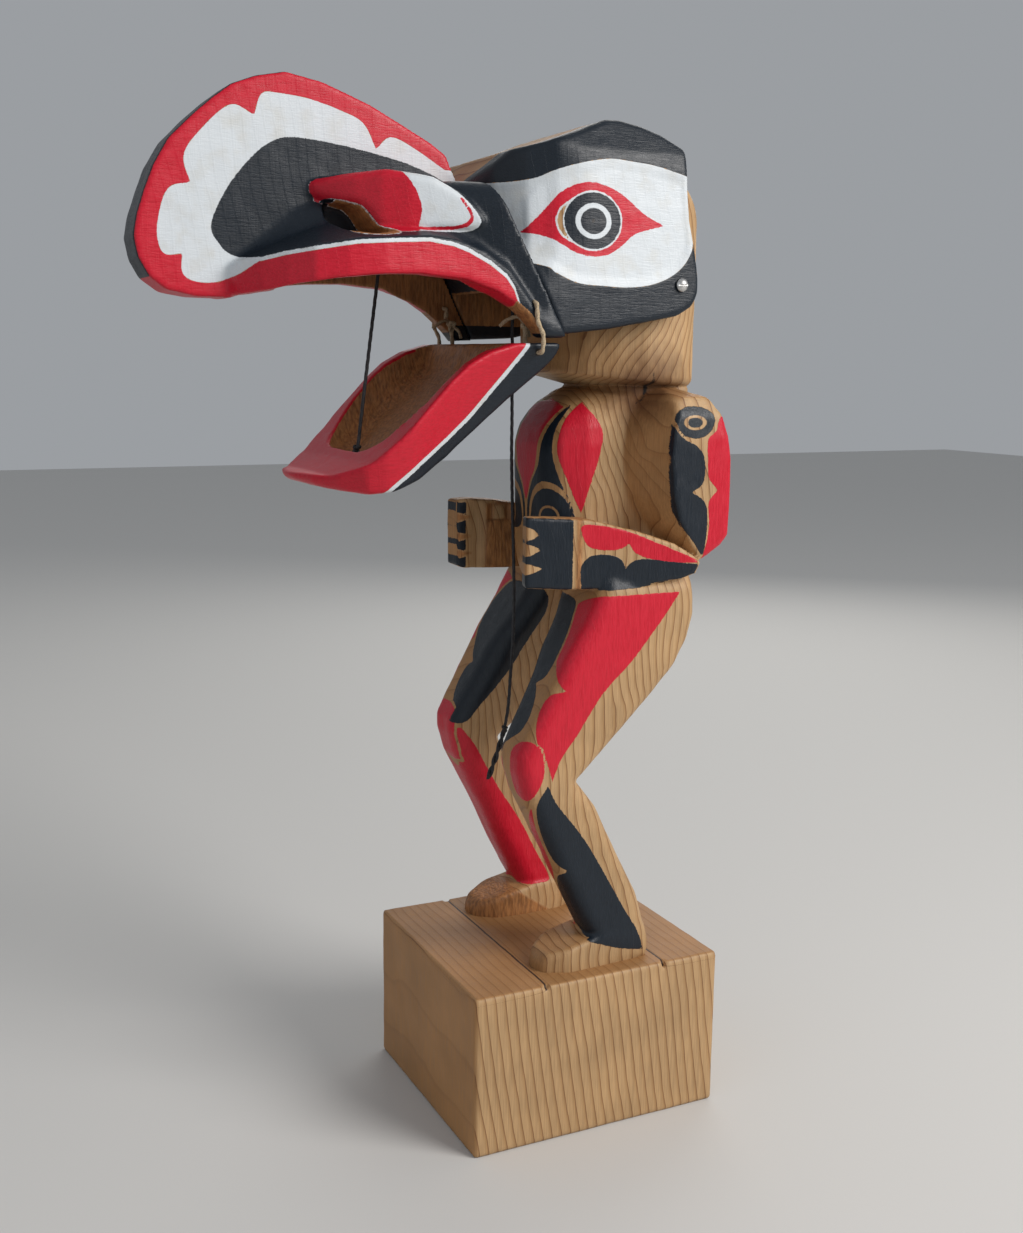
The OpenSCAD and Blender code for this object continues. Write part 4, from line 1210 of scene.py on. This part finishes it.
def make_painted_cedar(name, figured, brushed, ring_colour=None, ring_half=0.65, swirls=()):
    """Oiled cedar under the carving's paint.

    figured is how far its growth rings wander, brushed how fine the strokes are along each axis.
    """
    material, shader, tree = new_material(name)
    n = Nodes(tree)
    at = n.place()
    split = n.add("SeparateXYZ", {0: at})
    normal = n.add("SeparateXYZ", {0: n.add("TexCoord", {}).outputs["Normal"]})

    # growth rings: nearly flat sheets across y that lean back as they go down
    wander = n.math("MULTIPLY", n.math("SUBTRACT", n.noise(at, 1 / 62, 1.0), 0.5), 34 * figured)
    ripple = n.math("MULTIPLY", n.math("SUBTRACT", n.noise(at, 1 / 15, 1.0), 0.5), 3.2 * figured + 0.5)
    sheet = n.math("MULTIPLY_ADD", split.outputs[2], RING_LEAN, split.outputs[1])
    sheet = n.math("ADD", n.math("ADD", sheet, wander), n.math("ADD", ripple, 400))
    for centre, reach, height in swirls:
        sheet = n.math("ADD", sheet, n.between(n.away(at, centre), 0.0, reach, height, 0.0))
    phase = n.math("FRACT", n.math("DIVIDE", sheet, RING_SPACING))
    rings = n.ramp(phase, [(0.0, WOOD_LIGHT), (0.5, WOOD_LIGHT), (0.87, WOOD_MID),
                           (0.94, WOOD_RING), (0.97, WOOD_RING), (1.0, WOOD_LIGHT)])
    along_sheet = n.between(n.math("ABSOLUTE", normal.outputs[1]), 0.72, 0.97, 0.0, 0.8)
    rings = n.mix(along_sheet, rings, (*WOOD_LIGHT, 1))
    # Upward faces are pulled toward the mid wood: their rings fade and they are painted darker, as
    # painted shade on the tops.
    quiet = 0.65 if figured < 0.2 else 0.15
    rings = n.mix(n.between(normal.outputs[2], 0.7, 0.95, 0.0, quiet), rings, (*WOOD_MID, 1))
    fibre = n.noise(n.scaled(at, (1.6, 1.6, 0.06)), 1.0, 3.0)
    cloud = n.noise(at, 1 / 26, 3.0)
    tone = n.between(n.math("ADD", n.math("MULTIPLY", fibre, 0.55), n.math("MULTIPLY", cloud, 0.45)),
                     0.3, 0.7, 0.72, 1.14)
    wood = n.mix(1.0, rings, n.add("CombineColor", {0: tone, 1: tone, 2: tone}).outputs[0], "MULTIPLY")
    # Faces turned to the front, and faces turned up, are multiplied by a darker, warmer tint: painted
    # shade.
    front = n.between(normal.outputs[1], -0.2, -0.95, 0.0, 0.85)
    front = n.math("MAXIMUM", front, n.between(normal.outputs[2], 0.6, 0.95, 0.0, 0.6))
    wood = n.mix(front, wood, n.mix(1.0, wood, WOOD_SHADE_TINT, "MULTIPLY"))
    for centre, _, _ in swirls[:1]:
        away = n.math("MULTIPLY_ADD", n.noise(at, 0.16, 3.0), -12.0, n.away(at, centre))
        wood = n.mix(n.between(away, 1.0, 17.0, 0.95, 0.0), wood,
                     n.mix(1.0, wood, STAIN, "MULTIPLY"))

    # paint edges waver a little where the brush met the grain
    waver = n.math("ADD", n.math("MULTIPLY_ADD", n.noise(at, 0.55, 2.0), 0.7, -0.35),
                   n.math("MULTIPLY_ADD", n.noise(at, 2.2, 1.0), 0.34, -0.17))

    def edge(colour, width=0.22):
        distance = n.add("Attribute", {}, attribute_name=colour).outputs["Fac"]
        distance = n.math("ADD", distance, waver)
        return n.math("MULTIPLY_ADD", distance, -1 / width, 0.5, clamp=True)

    # The rough layer is chisel-cut wood, drawn darker and warmer; on the far foot, the inner forearms and
    # the nostril's hollow this darkness is painted shade.
    cut_and_shade_mask = edge("rough", 1.6)
    chisel = n.noise(n.scaled(at, (0.7, 0.8, 0.16)), 1.0, 3.0)
    cut_and_shaded_wood = n.mix(0.65, wood, (*WOOD_MID, 1))
    cut_and_shaded_wood = n.mix(1.0, cut_and_shaded_wood, WOOD_CUT_AND_SHADE, "MULTIPLY")
    # Where the chisel pattern is low, which is where its bump dips, the cut wood is painted much darker:
    # painted shade in the chisel hollows.
    cut_and_shaded_wood = n.mix(n.between(chisel, 0.36, 0.6, 0.6, 0.0), cut_and_shaded_wood, (0.11, 0.048, 0.02, 1))
    wood = n.mix(cut_and_shade_mask, wood, cut_and_shaded_wood)

    stroke = n.noise(n.scaled(at, brushed), 1.0, 3.0)
    streak = n.noise(n.scaled(at, brushed), 2.4, 2.0)
    red = n.mix(n.between(stroke, 0.3, 0.6), RED_DEEP, RED)
    red = n.mix(n.between(streak, 0.58, 0.80, 0.0, 0.5), red, RED_PALE)
    black = n.mix(n.between(streak, 0.42, 0.78, 0.0, 0.8), BLACK, BLACK_PALE)
    dirt = n.between(n.noise(at, 0.12, 4.0), 0.48, 0.78, 0.0, 0.5)
    white = n.mix(dirt, WHITE, WHITE_DIRTY)
    masks = {colour: edge(colour) for colour in ("white", "red", "black", "bare")}
    colour = n.mix(masks["white"], wood, white)
    colour = n.mix(masks["red"], colour, red)
    colour = n.mix(masks["black"], colour, black)
    colour = n.mix(masks["bare"], colour, wood)
    ring_distance = n.add("Attribute", {}, attribute_name="ring").outputs["Fac"]
    on_ring = n.math("ABSOLUTE", n.math("MULTIPLY_ADD", waver, 0.5, ring_distance))
    on_ring = n.math("MULTIPLY_ADD", on_ring, -4.0, 4.0 * ring_half, clamp=True)
    colour = n.mix(on_ring, colour, ring_colour or wood)
    dark = edge("dark", 0.5)
    colour = n.mix(dark, colour, GAP_DARK)
    tree.links.new(colour, shader.inputs["Base Color"])

    painted = n.math("MAXIMUM", n.math("MAXIMUM", masks["white"], masks["red"]), masks["black"])
    painted = n.math("MULTIPLY", painted, n.math("SUBTRACT", 1.0, masks["bare"]))
    rough = n.mix(painted, n.between(fibre, 0.3, 0.7, 0.42, 0.62), n.between(stroke, 0.3, 0.7, 0.3, 0.46))
    tree.links.new(rough, shader.inputs["Roughness"])
    shader.inputs["Specular IOR Level"].default_value = 0.33

    ring_height = n.math("MULTIPLY", n.between(phase, 0.78, 0.93), 0.35)
    height = n.math("ADD", ring_height, n.math("MULTIPLY", fibre, 0.5))
    height = n.math("ADD", height, n.math("MULTIPLY", chisel, n.math("MULTIPLY", cut_and_shade_mask, 2.5)))
    height = n.math("MULTIPLY", height, n.math("MULTIPLY_ADD", painted, -0.55, 1.0))
    strokes = n.math("MULTIPLY", n.math("ADD", stroke, streak), n.math("MULTIPLY", painted, 0.55))
    height = n.math("ADD", n.math("ADD", height, strokes), n.math("MULTIPLY", painted, 0.35))
    bump = n.add("Bump", {"Height": height, "Strength": 0.55, "Distance": 0.00032})
    tree.links.new(bump.outputs[0], shader.inputs["Normal"])
    return material


def make_string(name, pale, dark, roughness):
    material, shader, tree = new_material(name)
    n = Nodes(tree)
    at = n.place()
    fuzz = n.noise(at, 2.4, 4.0)
    tree.links.new(n.mix(n.between(fuzz, 0.35, 0.68), dark, pale), shader.inputs["Base Color"])
    shader.inputs["Roughness"].default_value = roughness
    bump = n.add("Bump", {"Height": fuzz, "Strength": 0.7, "Distance": 0.0003})
    tree.links.new(bump.outputs[0], shader.inputs["Normal"])
    return material


def make_steel():
    material, shader, tree = new_material("screw_steel")
    n = Nodes(tree)
    at = n.place()
    stain = n.noise(at, 1.1, 4.0)
    tree.links.new(n.mix(stain, (0.42, 0.41, 0.40, 1), (0.75, 0.75, 0.74, 1)),
                   shader.inputs["Base Color"])
    tree.links.new(n.between(stain, 0.3, 0.7, 0.5, 0.3), shader.inputs["Roughness"])
    shader.inputs["Metallic"].default_value = 1
    return material


def make_all():
    make_camera()
    cord = make_string("black_cord", (0.028, 0.028, 0.032, 1), (0.006, 0.006, 0.008, 1), 0.6)
    make_cords(cord)
    twine = make_string("twine", (0.56, 0.45, 0.30, 1), (0.30, 0.215, 0.13, 1), 0.9)
    make_hinge_twine(1, "left_hinge_twine", twine)
    make_hinge_twine(-1, "right_hinge_twine", twine)
    steel = make_steel()
    for name in ("left_mask_screw", "right_mask_screw"):
        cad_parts[name].material_slots[0].material = steel
    make_floor()
    make_lights()
    make_block(make_painted_cedar("block_cedar", 0.12, (1, 1, 1), SAW_LINE, 0.6))
    make_figure(make_painted_cedar("figure_cedar", 0.8, (1.3, 1.3, 0.14), swirls=KNOTS))
    mask = make_painted_cedar("mask_cedar", 0.5, (1.3, 0.13, 1.3), WHITE, 1.1)
    make_hood(mask)
    make_beak(mask)
    make_jaw(mask)


make_all()
